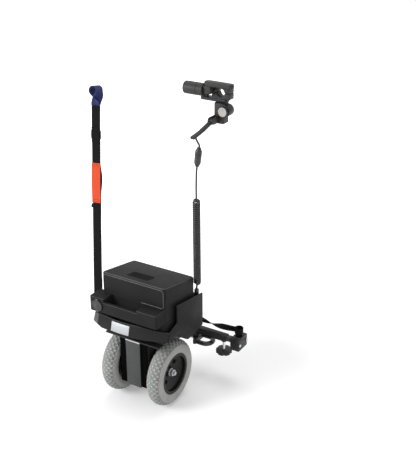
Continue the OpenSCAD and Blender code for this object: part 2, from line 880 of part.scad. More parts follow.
// Half of a split clamp, its bore along Z and the split across X
module clamp_half(length, back) {
    reach = back ? clamp_back : clamp_front;
    difference() {
        translate([0, 0, -length / 2]) linear_extrude(length) difference() {
            union() {
                circle(clamp_outer);
                translate([0, -clamp_half_w]) square([reach, 2 * clamp_half_w]);
            }
            circle(clamp_r);
            translate([-2 * clamp_half_w + clamp_split, -2 * clamp_half_w])
                square([2 * clamp_half_w, 4 * clamp_half_w]);
            translate([reach, -2 * clamp_half_w]) square([2 * clamp_half_w, 4 * clamp_half_w]);
        }
        for (y = [-clamp_screw_y, clamp_screw_y]) translate([0, y, 0])
            along_x(-overrun, clamp_outer + overrun) circle(clamp_screw_r + press_gap);
    }
}
module clamp_bolts() {
    for (y = [-clamp_screw_y, clamp_screw_y]) translate([0, y, 0]) {
        along_x(-clamp_back, clamp_front) circle(clamp_screw_r);
        along_x(clamp_front, clamp_front + clamp_head_h) circle(clamp_head_r);
    }
}
module frame_clamp(side) {
    translate([side * frame_w / 2, bar_y, bar_z]) mirror([side < 0 ? 1 : 0, 0, 0]) children();
}
module at_handle() {
    translate([handle_x, handle_clamp_y + handle_clamp_l / 2, handle_z])
        rotate(a = 240, v = [1, 1, 1]) children();
}
module bar_plug(size) {
    along_x(-clamp_back - plug_l, -clamp_back) square(size - 2 * press_gap, center = true);
}
module left_clamp_body() {
    color("#1a1a1a") frame_clamp(-1) {
        rotate(180) clamp_half(clamp_h, true);
        bar_plug(bar_inner);
    }
}
module left_clamp_cap() { color("#1a1a1a") frame_clamp(-1) clamp_half(clamp_h, false); }
module right_clamp_body() {
    color("#1a1a1a") frame_clamp(1) {
        rotate(180) clamp_half(clamp_h, true);
        bar_plug(arm_inner);
    }
}
module right_clamp_cap() { color("#1a1a1a") frame_clamp(1) clamp_half(clamp_h, false); }
module right_clamp_screws() { color("silver") frame_clamp(1) clamp_bolts(); }
module clamp_screws() {
    color("silver") {
        frame_clamp(-1) clamp_bolts();
        at_handle() clamp_bolts();
    }
}
module lock_knob() {
    body_z = knob_bottom + knob_h;
    color("#171717") translate([knob_x, bar_y, 0]) {
        up_z(knob_bottom, body_z) difference() {
            circle(knob_r);
            for (n = [0 : knob_lobes - 1]) rotate(360 * n / knob_lobes)
                translate([knob_scallop_at, 0]) circle(knob_scallop_r);
        }
        up_z(body_z, bar_z - arm_size / 2 - body_gap) circle(stem_r);
    }
}
module tether_strap() {
    from = post_x + post_r + body_gap + web_t;
    to = frame_w / 2 - clamp_r - body_gap - web_t;
    lap = web_t / 2;
    color("#151515") translate([0, bar_y, tether_z]) {
        translate([from - lap, 0, 0]) rotate([90, 0, 90])
            linear_extrude(to - from + 2 * lap, twist = 180, slices = 24, $fn = 8)
            square([web_t, tether_w], center = true);
        for (end = [[post_x, post_r], [frame_w / 2, clamp_r]]) translate([end[0], 0, -tether_w / 2])
            linear_extrude(tether_w) difference() {
                circle(end[1] + body_gap + web_t);
                circle(end[1] + body_gap);
            }
    }
}

// Battery tray
// Points round the rear of the tray, a given distance inside its outer face
function corner(side) =
    let (x = side * (tray_half - corner_r))
    [x, bow_y - sqrt(pow(bow_r - corner_r, 2) - pow(x - bow_x, 2))];
function bow_turn(side) = atan2(corner(side)[0] - bow_x, bow_y - corner(side)[1]);
function rear_point(mid, r, a) = mid + r * [sin(a), -cos(a)];
function arc_points(mid, r, from, to, steps) =
    [for (k = [0 : steps]) rear_point(mid, r, from + (to - from) * k / steps)];
function rear_curve(inset) =
    let (left = bow_turn(-1), right = bow_turn(1), inner_r = corner_r - inset,
         step = (right - left) / bow_steps)
    concat(arc_points(corner(-1), inner_r, -90, left, corner_steps),
        arc_points([bow_x, bow_y], bow_r - inset, left + step, right - step, bow_steps - 2),
        arc_points(corner(1), inner_r, right, 90, corner_steps));
function rear_line(inset, lean) =
    let (half = tray_half - inset, lap = cheek_back + overrun)
    concat([[-half, lap]], [for (p = rear_curve(inset)) p + [0, lean]], [[half, lap]]);
// Solid over a section that is swept along plan lines, each row holding a line and its height
module swept(rows) {
    skin([for (i = [0 : len(rows[0][0]) - 1]) [for (r = rows) [r[0][i][0], r[0][i][1], r[1]]]]);
}
module rear_lip() {
    top = tray_z + lip_h;
    swept([[rear_line(tray_wall, lip_lean), top], [rear_line(0, lip_lean), top],
        [rear_line(0, 0), tray_z], [rear_line(tray_wall, 0), tray_z]]);
}
module floor_outline() {
    half = tray_half - floor_inset;
    front = tray_front - floor_inset;
    polygon(concat(rear_line(floor_inset, 0), [[half, front], [-half, front]]));
}
module cheek_panel_outline() {
    top = tray_z + cheek_h;
    low = deck_z - cheek_drop;
    polygon([[cheek_back, tray_z - cheek_heel], [cheek_back, top - cheek_round],
        [cheek_back + cheek_round, top], [tray_front, top - cheek_fall],
        [tray_front, low + cheek_nose], [cheek_low_ys[1], low], [cheek_low_ys[0], low]]);
}
module battery_tray() {
    color("#202022") {
        up_z(tray_z, tray_z + tray_wall) floor_outline();
        rear_lip();
        for (side = [0, 1]) mirror([side, 0, 0])
            along_x(tray_half - tray_wall, tray_half) cheek_panel_outline();
        box([-tray_half, tray_front - tray_wall, tray_z], [tray_half, tray_front, tray_z + front_wall_h]);
    }
}
function plate_line(out, lean) =
    let (turn = plate_w / bow_r * 90 / PI)
    [for (p = arc_points([bow_x, bow_y], bow_r + out, -turn, turn, plate_steps)) p + [0, lean]];
module name_plate() {
    low = (1 - plate_h_share) / 2;
    high = 1 - low;
    out = plate_gap + plate_thick;
    color("#b9bbbd") swept([[plate_line(plate_gap, lip_lean * high), tray_z + lip_h * high],
        [plate_line(out, lip_lean * high), tray_z + lip_h * high],
        [plate_line(out, lip_lean * low), tray_z + lip_h * low],
        [plate_line(plate_gap, lip_lean * low), tray_z + lip_h * low]]);
}
module controller() {
    floor_z = tray_z + tray_wall;
    front = tray_front - tray_wall;
    color("#19191b") up_z(floor_z, floor_z + controller_h)
        rounded([-controller_w / 2, front - controller_l], [controller_w / 2, front], controller_r);
}
module cord_socket() {
    base = tray_z + tray_wall + controller_h;
    color("#0f0f10") translate([socket_x, socket_y, 0]) up_z(base, base + socket_h) circle(socket_r);
}
module tray_contacts() {
    floor_z = tray_z + tray_wall;
    color("goldenrod") box([-contact_w / 2, tray_front - tray_wall - controller_l - contact_l, floor_z],
        [contact_w / 2, tray_front - tray_wall - controller_l, floor_z + contact_h]);
}

// Battery
module battery_outline(inset) {
    rounded([-battery_half + inset, battery_back + inset], [battery_half - inset, battery_front - inset],
        battery_edge_r - inset);
}
module battery_side(inset, bottom) {
    top = battery_top - inset;
    polygon([[battery_back + inset, bottom], [battery_back + inset, top - battery_bevel],
        [battery_back + battery_bevel, top], [battery_front - battery_bevel, top - battery_fall],
        [battery_front - inset, top - battery_fall - battery_bevel], [battery_front - inset, bottom]]);
}
module battery_block(inset, bottom) {
    intersection() {
        up_z(bottom, battery_top) battery_outline(inset);
        along_x(-battery_half, battery_half) battery_side(inset, bottom);
    }
}
module battery_base() {
    color("#1d1d1f") difference() {
        up_z(battery_z, battery_split) battery_outline(0);
        up_z(battery_z + battery_wall, battery_split + overrun) battery_outline(battery_wall);
    }
}
module battery_cover() {
    ledge_z = battery_split;
    fall_turn = atan2(battery_fall, battery_l - 2 * battery_bevel);
    color("#262628") difference() {
        union() {
            battery_block(0, battery_split);
            up_z(ledge_z, ledge_z + ledge_h)
                rounded([ledge_left, ledge_back], [ledge_right, battery_back + battery_edge_r], ledge_r);
            up_z(ledge_z, ledge_z + cheek_block_h)
                rounded([ledge_left, ledge_back],
                    [cheek_block_right, battery_back + battery_edge_r], ledge_r);
            up_z(ledge_z, ledge_z + platform_h)
                rounded([platform_left, ledge_back], [ledge_right, battery_back + battery_edge_r], ledge_r);
        }
        battery_block(battery_wall, battery_split - overrun);
        up_z(ledge_z - overrun, ledge_z + cheek_block_h + overrun)
            rounded([cheek_block_right, ledge_back + rail_t], [platform_left, battery_back], ledge_r);
        translate([label_x, battery_back + battery_bevel, battery_top]) rotate([-fall_turn, 0, 0])
            box([-label_w / 2, label_l / 2, -label_depth], [label_w / 2, label_l * 3 / 2, overrun]);
        translate([port_x, 0, port_z]) along_y(ledge_back - overrun, ledge_back + port_depth) circle(port_r);
    }
    color("#262628") charge_hinge();
}
module charge_hinge() {
    half = charge_knuckle_w / 2 + body_gap;
    translate([port_x, charge_y, charge_z]) {
        along_x(-half - charge_ear_w, half + charge_ear_w) circle(charge_pin_r);
        for (side = [0, 1]) mirror([side, 0, 0]) along_x(half, half + charge_ear_w) {
            circle(charge_cap_t / 2);
            translate([0, -charge_cap_t / 2]) square([ledge_back - charge_y, charge_cap_t]);
        }
    }
}
module battery_cells() {
    floor_z = battery_z + battery_wall;
    mid_y = battery_back + battery_l / 2;
    color("#3b3f45") for (side = [-1, 1]) translate([side * (cell_w / 2 + press_gap), mid_y, floor_z]) {
        translate([-cell_w / 2, -cell_l / 2, 0]) cube([cell_w, cell_l, cell_h]);
        for (x = [-cell_w / 4, cell_w / 4])
            translate([x, cell_l / 3, cell_h]) cylinder(h = terminal_h, r = terminal_r);
    }
}
module charge_cap() {
    color("#0d0d0e") difference() {
        union() {
            along_y(charge_y - charge_cap_t / 2, charge_y + charge_cap_t / 2) translate([port_x, port_z]) {
                circle(charge_cap_r);
                translate([-charge_knuckle_w / 2, 0]) square([charge_knuckle_w, charge_z - port_z]);
            }
            translate([port_x, charge_y, charge_z])
                along_x(-charge_knuckle_w / 2, charge_knuckle_w / 2) circle(charge_cap_t / 2);
        }
        translate([port_x, charge_y, charge_z])
            along_x(-charge_knuckle_w, charge_knuckle_w) circle(charge_pin_r + run_gap);
    }
}

// Lifting strap
module on_strap() { translate(strap_bottom) rotate([strap_pitch, strap_yaw, 0]) children(); }
module strap_anchor() {
    rod_end = -web_w / 2 - body_gap;
    color("#2b2b2d") {
        box([-tray_half - anchor_t, anchor_y - anchor_w / 2, tray_z],
            [-tray_half, anchor_y + anchor_w / 2, strap_bottom[2] + anchor_over]);
        on_strap() {
            along_x(rod_end - anchor_stop_t, anchor_reach - anchor_t / 2) circle(anchor_rod_r);
            along_x(rod_end - anchor_stop_t, rod_end) circle(anchor_stop_r);
        }
    }
}
module strap_webbing() {
    ring_r = anchor_rod_r + body_gap;
    color("#121212") on_strap() {
        along_x(-web_w / 2, web_w / 2) difference() {
            circle(ring_r + web_t);
            circle(ring_r);
        }
        box([-web_w / 2, -ring_r - web_t, 0], [web_w / 2, -ring_r, strap_l]);
        box([-web_w / 2, -ring_r, ring_r + web_t], [web_w / 2, -ring_r + web_t, doubled_l]);
    }
}
module strap_red_loop() {
    back = -anchor_rod_r - body_gap - web_t;
    color("orangered") on_strap()
        box([-web_w / 2, back - red_t, red_start], [web_w / 2, back, red_start + red_l]);
}
module strap_slider() {
    mid = -anchor_rod_r - body_gap - web_t / 2;
    color("#0c0c0c") on_strap() translate([0, mid, slider_at]) linear_extrude(slider_h) difference() {
        square([slider_w, slider_t], center = true);
        square([web_w + 2 * body_gap, web_t + 2 * body_gap], center = true);
    }
}
module strap_loop() {
    ring_r = clamp_r + loop_wall;
    back = -anchor_rod_r - body_gap;
    color("navy") on_strap() translate([0, 0, strap_l]) difference() {
        union() {
            box([-web_w / 2, back - web_t, 0], [web_w / 2, back, loop_neck]);
            translate([0, back, loop_neck]) along_y(-web_w / 2, web_w / 2) circle(ring_r);
        }
        translate([0, back, loop_neck]) along_y(-web_w, web_w) circle(clamp_r);
    }
}

// Hand control
module handle_clamp_body() {
    color("#1a1a1a") at_handle() rotate(180) clamp_half(handle_clamp_l, true);
}
module handle_clamp_cap() { color("#1a1a1a") at_handle() clamp_half(handle_clamp_l, false); }
module control_bracket() {
    top = handle_z - clamp_back;
    color("#1f1f20") up_z(top - bracket_t, top)
        rounded([bracket_left, handle_clamp_y + overrun],
            [bracket_right, handle_clamp_y + handle_clamp_l - overrun], housing_edge_r);
}
module control_barrel() {
    barrel_z = handle_z + barrel_rise;
    barrel_r = barrel_d / 2;
    top = handle_z - clamp_back;
    color("#2b2b2b") {
        translate([barrel_left, barrel_y, barrel_z]) rotate([0, 90, 0]) rotate_extrude() polygon([[0, 0],
            [barrel_r - barrel_bevel, 0], [barrel_r, barrel_bevel],
            [barrel_r, barrel_right - barrel_left], [0, barrel_right - barrel_left]]);
        box([barrel_right - strut_l, handle_clamp_y + overrun, top],
            [barrel_right, handle_clamp_y + overrun + strut_t, barrel_z]);
        box([barrel_right - strut_l, barrel_y, barrel_z - strut_t],
            [barrel_right, handle_clamp_y + overrun + strut_t, barrel_z]);
        box([barrel_right - overrun, barrel_y - neck_w / 2, paddle_z - body_gap - neck_t],
            [paddle_x + neck_w / 2, barrel_y + neck_w / 2, paddle_z - body_gap]);
        translate([paddle_x, barrel_y, 0])
            up_z(paddle_z - neck_t, paddle_z + paddle_pin_h) circle(paddle_pin_r);
    }
}
module direction_paddle() {
    color("#1d1d1d") difference() {
        up_z(paddle_z, paddle_z + paddle_t) {
            translate([paddle_x, barrel_y]) circle(paddle_hub_r);
            translate([paddle_x + paddle_l, barrel_y]) circle(paddle_tip_r);
            polygon([[paddle_x, barrel_y - paddle_hub_r], [paddle_x + paddle_l, barrel_y - paddle_tip_r],
                [paddle_x + paddle_l, barrel_y + paddle_tip_r], [paddle_x, barrel_y + paddle_hub_r]]);
        }
        translate([paddle_x, barrel_y, 0])
            up_z(paddle_z - overrun, paddle_z + paddle_pin_h + body_gap) circle(paddle_pin_r + run_gap);
    }
}
module lever_place() { translate([lever_y, lever_z]) children(); }
module throttle_housing() {
    far_ear = housing_left + lever_ear_t + lever_hub_w + 2 * body_gap;
    color("#2a2a2a") difference() {
        union() {
            up_z(housing_z, housing_z + housing_h)
                rounded([housing_left, housing_back], [housing_right, housing_front], housing_edge_r);
            along_y(housing_back, dial_boss_front) translate([dial_x, dial_z]) circle(dial_boss_r);
            for (x = [housing_left, far_ear]) along_x(x, x + lever_ear_t) {
                lever_place() circle(lever_ear_r);
                translate([lever_y, lever_z - lever_ear_r])
                    square([housing_back + housing_edge_r - lever_y, 2 * lever_ear_r]);
            }
            along_x(housing_left, far_ear + lever_ear_t) lever_place() circle(lever_pin_r);
        }
        along_y(housing_back - overrun, housing_back + dial_shaft_l + body_gap)
            translate([dial_x, dial_z]) circle(dial_shaft_r + run_gap);
        between(gland_start, gland_end)
            cylinder(h = 2 * gland_r + housing_right - housing_left, r = gland_r + press_gap);
    }
}
module drive_lever() {
    hub_left = housing_left + lever_ear_t + body_gap;
    mid_x = hub_left + lever_hub_w / 2;
    tip = [-sqrt(pow(lever_l, 2) - pow(lever_drop, 2)), -lever_drop];
    normal = unit([-tip[1], tip[0]]) * lever_blade_t / 2;
    start = tip * lever_blade_start / lever_l;
    color("#202020") difference() {
        union() {
            along_x(hub_left, hub_left + lever_hub_w) lever_place() {
                circle(lever_hub_r);
                polygon([normal, start + normal, start - normal, -normal]);
            }
            along_x(mid_x - lever_blade_w / 2, mid_x + lever_blade_w / 2) lever_place() {
                polygon([start + normal, tip + normal, tip - normal, start - normal]);
                translate(tip) circle(lever_tip_r);
            }
        }
        along_x(hub_left - overrun, hub_left + lever_hub_w + overrun)
            lever_place() circle(lever_pin_r + run_gap);
    }
}
module speed_dial() {
    face = housing_back - body_gap;
    color("#b3b0ab") translate([dial_x, 0, dial_z]) {
        along_y(face - dial_t, face) {
            circle(dial_d / 2 - dial_rib_r);
            for (n = [0 : dial_ribs - 1]) rotate(360 * n / dial_ribs)
                translate([dial_d / 2 - dial_rib_r, 0]) circle(dial_rib_r);
        }
        along_y(face, housing_back + dial_shaft_l) circle(dial_shaft_r);
    }
}

// Control cord
module cable_gland() {
    run_l = norm(gland_end - gland_start);
    color("#0e0e0e") between(gland_start, gland_end)
        rotate_extrude()
        polygon([[0, 0], [gland_r, 0], [gland_r, run_l / 2], [gland_tip_r, run_l], [0, run_l]]);
}
module control_lead() {
    out = unit(gland_end - gland_start);
    down = unit(plug_end - plug_start);
    path = concat([gland_end + press_gap * out, gland_end + lead_lap * out],
        [for (b = lead_bends) handle_spot + b],
        [plug_start - 2 * lead_lap * down, plug_start - press_gap * down]);
    color("#1a1a1a") tube(path, cord_r, lead_sides);
}
module lead_plug() {
    color("#131313") between(plug_start, plug_end) rotate_extrude()
        polygon([[0, 0], [plug_neck_r, 0], [plug_r, plug_neck_l], [plug_r, plug_seam], [0, plug_seam]]);
}
module lead_socket() {
    run_l = norm(plug_end - plug_start);
    color("#131313") between(plug_start, plug_end) rotate_extrude()
        polygon([[0, plug_seam], [plug_r, plug_seam], [plug_r, run_l - plug_neck_l],
            [plug_neck_r, run_l], [0, run_l]]);
}
module coil_cord() {
    foot = [socket_x, socket_y, socket_top];
    helix = curl_path(coil_top, coil_bottom, curl_r, curls, curl_rings, ramp_turns);
    path = concat([for (b = coil_lead_bends) handle_spot + b], helix, [foot + [0, 0, cord_d], foot]);
    echo(curl_gap = least_gap(helix, curl_rings - 2, cord_d));
    color("#171717") tube(path, cord_r, curl_sides);
}

in_row() bar_tube();
in_row() left_clamp_body();
in_row() left_clamp_cap();
in_row() clamp_screws();
in_row() hitch_bracket();
in_row() tether_strap();
in_row() handle_clamp_body();
in_row() handle_clamp_cap();
in_row() control_bracket();
in_row() control_barrel();
in_row() throttle_housing();
in_row() cable_gland();
in_row() control_lead();
in_row() lead_plug();
in_row() lead_socket();
in_row() coil_cord();
in_row() strap_loop();
in_row() strap_webbing();
in_row() strap_red_loop();
in_row() strap_slider();
in_row() inner_tube();
in_row() right_clamp_body();
in_row() right_clamp_cap();
in_row() right_clamp_screws();
in_row() lock_knob();
in_row() hitch_pin();
in_row() pull_loop();
in_row() pin_spring();
in_row() chassis();
in_row() rear_guard();
in_row() drawbar();
in_row() gear_case();
in_row() gear_cover();
in_row() motor_can();
in_row() motor_cap();
in_row() battery_tray();
in_row() name_plate();
in_row() controller();
in_row() cord_socket();
in_row() tray_contacts();
in_row() strap_anchor();
in_row() axle_bearings();
in_row() unit_screws();
in_row() axle();
in_row() left_rim();
in_row() right_rim();
in_row() left_tyre();
in_row() right_tyre();
in_row() output_gear();
in_row() wheel_nuts();
in_row() idler_gear();
in_row() motor_rotor();
in_row() battery_base();
in_row() battery_cover();
in_row() battery_cells();
in_row() charge_cap();
in_row() drive_lever();
in_row() direction_paddle();
in_row() speed_dial();
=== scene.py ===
import json
from math import asin, atan2, copysign, cos, degrees, hypot, pi, radians, sin
import bpy
import bmesh
from mathutils import Matrix, Vector

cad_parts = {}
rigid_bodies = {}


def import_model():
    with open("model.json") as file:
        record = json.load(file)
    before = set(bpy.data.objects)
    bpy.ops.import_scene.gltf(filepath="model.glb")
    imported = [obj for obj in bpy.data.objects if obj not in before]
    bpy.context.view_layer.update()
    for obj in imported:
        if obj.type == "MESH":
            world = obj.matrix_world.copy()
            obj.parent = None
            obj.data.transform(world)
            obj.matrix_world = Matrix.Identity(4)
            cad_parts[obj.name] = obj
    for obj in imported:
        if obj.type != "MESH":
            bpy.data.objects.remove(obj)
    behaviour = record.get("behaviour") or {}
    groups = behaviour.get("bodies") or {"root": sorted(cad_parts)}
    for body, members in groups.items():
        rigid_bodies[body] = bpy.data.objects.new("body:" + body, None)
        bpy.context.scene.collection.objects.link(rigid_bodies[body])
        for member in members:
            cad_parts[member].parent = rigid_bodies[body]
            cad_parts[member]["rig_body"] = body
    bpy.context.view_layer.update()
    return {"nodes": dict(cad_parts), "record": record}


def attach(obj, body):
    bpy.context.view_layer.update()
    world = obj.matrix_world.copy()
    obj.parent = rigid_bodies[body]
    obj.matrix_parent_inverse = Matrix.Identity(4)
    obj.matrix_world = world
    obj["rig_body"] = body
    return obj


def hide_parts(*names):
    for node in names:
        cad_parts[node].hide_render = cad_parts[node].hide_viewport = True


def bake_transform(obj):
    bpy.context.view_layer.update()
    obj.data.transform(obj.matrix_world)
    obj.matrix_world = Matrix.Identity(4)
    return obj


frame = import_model()
nodes = frame["nodes"]
slotOf = {row["node"]: row["material_slot"] for row in frame["record"]["subparts"]}
print("frame loaded with", len(nodes), "CAD nodes")


# drawing millimetres, from the floor under the middle of the axle, to the frame's metres
drawingShift = (212, -187, -150)


def spot(x, y, z):
    return Vector([(value + shift) / 1000 for value, shift in zip((x, y, z), drawingShift)])


def mm(value):
    return value / 1000


def started(name, add, **values):
    # the primitive that a piece starts from
    bpy.ops.object.select_all(action="DESELECT")
    add(**values)
    piece = bpy.context.active_object
    piece.name = name
    return piece


def linked(name, data):
    made = bpy.data.objects.new(name, data)
    bpy.context.scene.collection.objects.link(made)
    return made


def addNode(tree, kind, values=None, links=None, **options):
    # a shader node with its options, input values and incoming links
    node = tree.nodes.new(kind)
    for key, value in options.items():
        setattr(node, key, value)
    for key, value in (values or {}).items():
        node.inputs[key].default_value = value
    for key, source in (links or {}).items():
        tree.links.new(source, node.inputs[key])
    return node


# camera and light

photoView = {
    "place": (1.4946, -1.9671, 1.3870), "azimuth": 30.97, "elevation": 24.42, "lens": 66.51, "clip": (0.05, 60),
}
studio = {
    "white": (1, 1, 1, 1), "worldStrength": 0.52,
    "floorSize": 14, "floorColour": (0.86, 0.86, 0.87, 1),
    "floorFade": {"From Min": 0.5, "From Max": 1.5, "To Min": 0.24, "To Max": 1.1},  # metres out, glow there
    "lamps": [  # name, place, aim, size, watts
        ("keySoftbox", (-1.5, -2.6, 1.7), (0.2, -0.1, 0.3), 1.6, 80),
        ("rightSoftbox", (2.6, -1.0, 1.5), (0.2, -0.1, 0.2), 1.4, 4),
        ("topSoftbox", (0.2, 0.5, 3.0), (0.2, -0.1, 0.2), 2.0, 32),
    ],
}


def hang(name, data, place, way):
    # a camera or lamp at its place, facing that way
    holder = linked(name, data)
    holder.location = place
    holder.rotation_mode = "QUATERNION"
    holder.rotation_quaternion = way.to_track_quat("-Z", "Y")
    return holder


def setCamera():
    data = bpy.data.cameras.new("photoCamera")
    data.lens = photoView["lens"]
    data.clip_start, data.clip_end = photoView["clip"]
    turn, rise = radians(photoView["azimuth"]), radians(photoView["elevation"])
    back = Vector((sin(turn) * cos(rise), -cos(turn) * cos(rise), sin(rise)))
    bpy.context.scene.camera = hang("photoCamera", data, photoView["place"], -back)


def seenRays(tree):
    # camera, glossy and transmission rays all see the white studio
    path = addNode(tree, "ShaderNodeLightPath").outputs
    either = addNode(tree, "ShaderNodeMath", None, {0: path["Is Camera Ray"], 1: path["Is Glossy Ray"]},
                     operation="MAXIMUM")
    every = addNode(tree, "ShaderNodeMath", None, {0: either.outputs[0], 1: path["Is Transmission Ray"]},
                    operation="MAXIMUM")
    return every.outputs[0]


def setStudio():
    world = bpy.data.worlds.new("studioWorld")
    bpy.context.scene.world = world
    world.use_nodes = True
    tree = world.node_tree
    tree.nodes.clear()
    soft = addNode(tree, "ShaderNodeBackground", {"Color": studio["white"], "Strength": studio["worldStrength"]})
    bright = addNode(tree, "ShaderNodeBackground", {"Color": studio["white"]})
    mix = addNode(tree, "ShaderNodeMixShader", None, {0: seenRays(tree), 1: soft.outputs[0], 2: bright.outputs[0]})
    addNode(tree, "ShaderNodeOutputWorld", None, {0: mix.outputs[0]})
    for name, place, aim, size, watts in studio["lamps"]:
        lamp = bpy.data.lights.new(name, "AREA")
        lamp.shape, lamp.size, lamp.energy = "DISK", size, watts
        hang(name, lamp, place, Vector(aim) - Vector(place))
    bpy.context.scene.view_settings.view_transform = "Standard"


def layFloor():
    floor = started("studioFloor", bpy.ops.mesh.primitive_plane_add, size=studio["floorSize"],
                    location=spot(0, 0, 0))
    look = bpy.data.materials.new("studioFloorPaint")
    look.use_nodes = True
    tree = look.node_tree
    tree.nodes.clear()
    place = addNode(tree, "ShaderNodeTexCoord")
    reach = addNode(tree, "ShaderNodeVectorMath", None, {0: place.outputs["Object"]}, operation="LENGTH")
    fade = addNode(tree, "ShaderNodeMapRange", studio["floorFade"], {"Value": reach.outputs["Value"]})
    level = addNode(tree, "ShaderNodeMath", None, {0: seenRays(tree), 1: fade.outputs["Result"]},
                    operation="MULTIPLY")
    glow = addNode(tree, "ShaderNodeEmission", None, {"Strength": level.outputs[0]})  # pure white further off
    matt = addNode(tree, "ShaderNodeBsdfDiffuse", {"Color": studio["floorColour"]})
    both = addNode(tree, "ShaderNodeAddShader", None, {0: matt.outputs[0], 1: glow.outputs[0]})
    addNode(tree, "ShaderNodeOutputMaterial", None, {0: both.outputs[0]})
    floor.data.materials.append(look)


setCamera()
setStudio()
layFloor()
print("camera, studio light and floor are set")


# finishes

coatKinds = {
    # metal, gloss, stretch, noise and stops of the tone,
    # noise and span of the roughness, noise, strength and depth of the relief
    "moulded": (0, 0.24, (1, 1, 1), (9, 4), [(0.3, 0.86), (0.7, 1.16)],  # spark-eroded grain, a little dust
                (26, 5), (0.08, 0.1), (1400, 2), 0.35, 0.00012),
    "powder": (0, 0.28, (1, 1, 1), (14, 5), [(0.3, 0.9), (0.75, 1.12)],
               (60, 4), (0.07, 0.09), (420, 2), 0.25, 0.00012),
    "jacket": (0, 0.32, (1, 1, 1), (55, 4), [(0.3, 0.8), (0.7, 1.25)],
               (120, 4), (0.08, 0.1), (700, 2), 0.2, 0.0001),
    "zinc": (1, 0.5, (1, 12, 12), (160, 4, 0.6), [(0.3, 0.82), (0.7, 1.08)],
             (160, 4, 0.6), (0.1, 0.14), (160, 4, 0.6), 0.12, 0.00006),
    "brushed": (0.75, 0.5, (1.5, 40, 60), (60, 5, 0.7), [(0.25, 0.86), (0.75, 1.08)],
                (60, 5, 0.7), (0.09, 0.11), (60, 5, 0.7), 0.15, 0.00005),
    "rubber": (0, 0.3, (1, 1, 1), (34, 6, 0.6), [(0.25, 0.84), (0.55, 1), (0.8, 1.1)],  # cloudy, with pores
               (90, 4), (0.1, 0.12), (900, 3), 0.3, 0.0002),
}


def startFinish(name, roughness, metal, gloss):
    look = bpy.data.materials.new(name)
    look.use_nodes = True
    shader = look.node_tree.nodes["Principled BSDF"]
    for key, value in (("Roughness", roughness), ("Metallic", metal), ("Specular IOR Level", gloss)):
        shader.inputs[key].default_value = value
    return look, look.node_tree, shader


def coords(tree, kind="Object", scale=(1, 1, 1)):
    source = addNode(tree, "ShaderNodeTexCoord")
    return addNode(tree, "ShaderNodeMapping", {"Scale": scale}, {"Vector": source.outputs[kind]}).outputs["Vector"]


def noise(tree, vector, scale, detail, rough=0.5):
    values = {"Scale": scale, "Detail": detail, "Roughness": rough}
    return addNode(tree, "ShaderNodeTexNoise", values, {"Vector": vector}).outputs["Fac"]


def paint(tree, shader, value, colour, *stops):
    # base colour from a texture; stops are place and brightness
    node = addNode(tree, "ShaderNodeValToRGB", None, {"Fac": value})
    elements = node.color_ramp.elements
    while len(elements) < len(stops):
        elements.new(0.5)
    for element, (place, level) in zip(elements, stops):
        element.position = place
        element.color = (*[min(1, c * level) for c in colour], 1)
    tree.links.new(node.outputs["Color"], shader.inputs["Base Color"])


def bump(tree, shader, height, strength, distance):
    node = addNode(tree, "ShaderNodeBump", {"Strength": strength, "Distance": distance}, {"Height": height})
    tree.links.new(node.outputs["Normal"], shader.inputs["Normal"])


def coated(kind, name, colour, roughness, gloss=None, grain=None, depth=None, stretch=None):
    metal, sheen, usual, tone, stops, wear, span, relief, strength, deep = coatKinds[kind]
    look, tree, shader = startFinish(name, roughness, metal, gloss or sheen)
    place = coords(tree, scale=stretch or usual)
    paint(tree, shader, noise(tree, place, *tone), colour, *stops)
    wearAndHighlight = addNode(tree, "ShaderNodeMapRange", {"To Min": roughness - span[0], "To Max": roughness + span[1]},
                   {"Value": noise(tree, place, *wear)})
    tree.links.new(wearAndHighlight.outputs["Result"], shader.inputs["Roughness"])
    bump(tree, shader, noise(tree, place, grain or relief[0], *relief[1:]), strength, depth or deep)
    return look


def wovenWebbing(name, colour, pitch=1.3, sheen=0.12):
    # UV is in millimetres, across and along the webbing
    look, tree, shader = startFinish(name, 0.82, 0, 0.1)
    shader.inputs["Sheen Weight"].default_value = sheen
    shader.inputs["Sheen Roughness"].default_value = 0.6
    place = coords(tree, "UV")
    waves = {}
    for socket, (direction, scale) in enumerate((("X", 0.5 / pitch), ("Y", 0.72 / pitch))):
        values = {"Scale": scale, "Distortion": 0.35, "Detail": 1}
        wave = addNode(tree, "ShaderNodeTexWave", values, {"Vector": place}, bands_direction=direction)
        waves[socket] = wave.outputs["Fac"]
    cross = addNode(tree, "ShaderNodeMath", None, waves, operation="MULTIPLY").outputs[0]
    fuzz = noise(tree, place, 2.2, 4, 0.65)
    tone = addNode(tree, "ShaderNodeMath", {1: 0.45}, {0: fuzz, 2: cross}, operation="MULTIPLY_ADD")
    paint(tree, shader, tone.outputs[0], colour, (0.1, 0.62), (0.75, 1.2))
    bump(tree, shader, cross, 0.6, 0.0004)
    return look


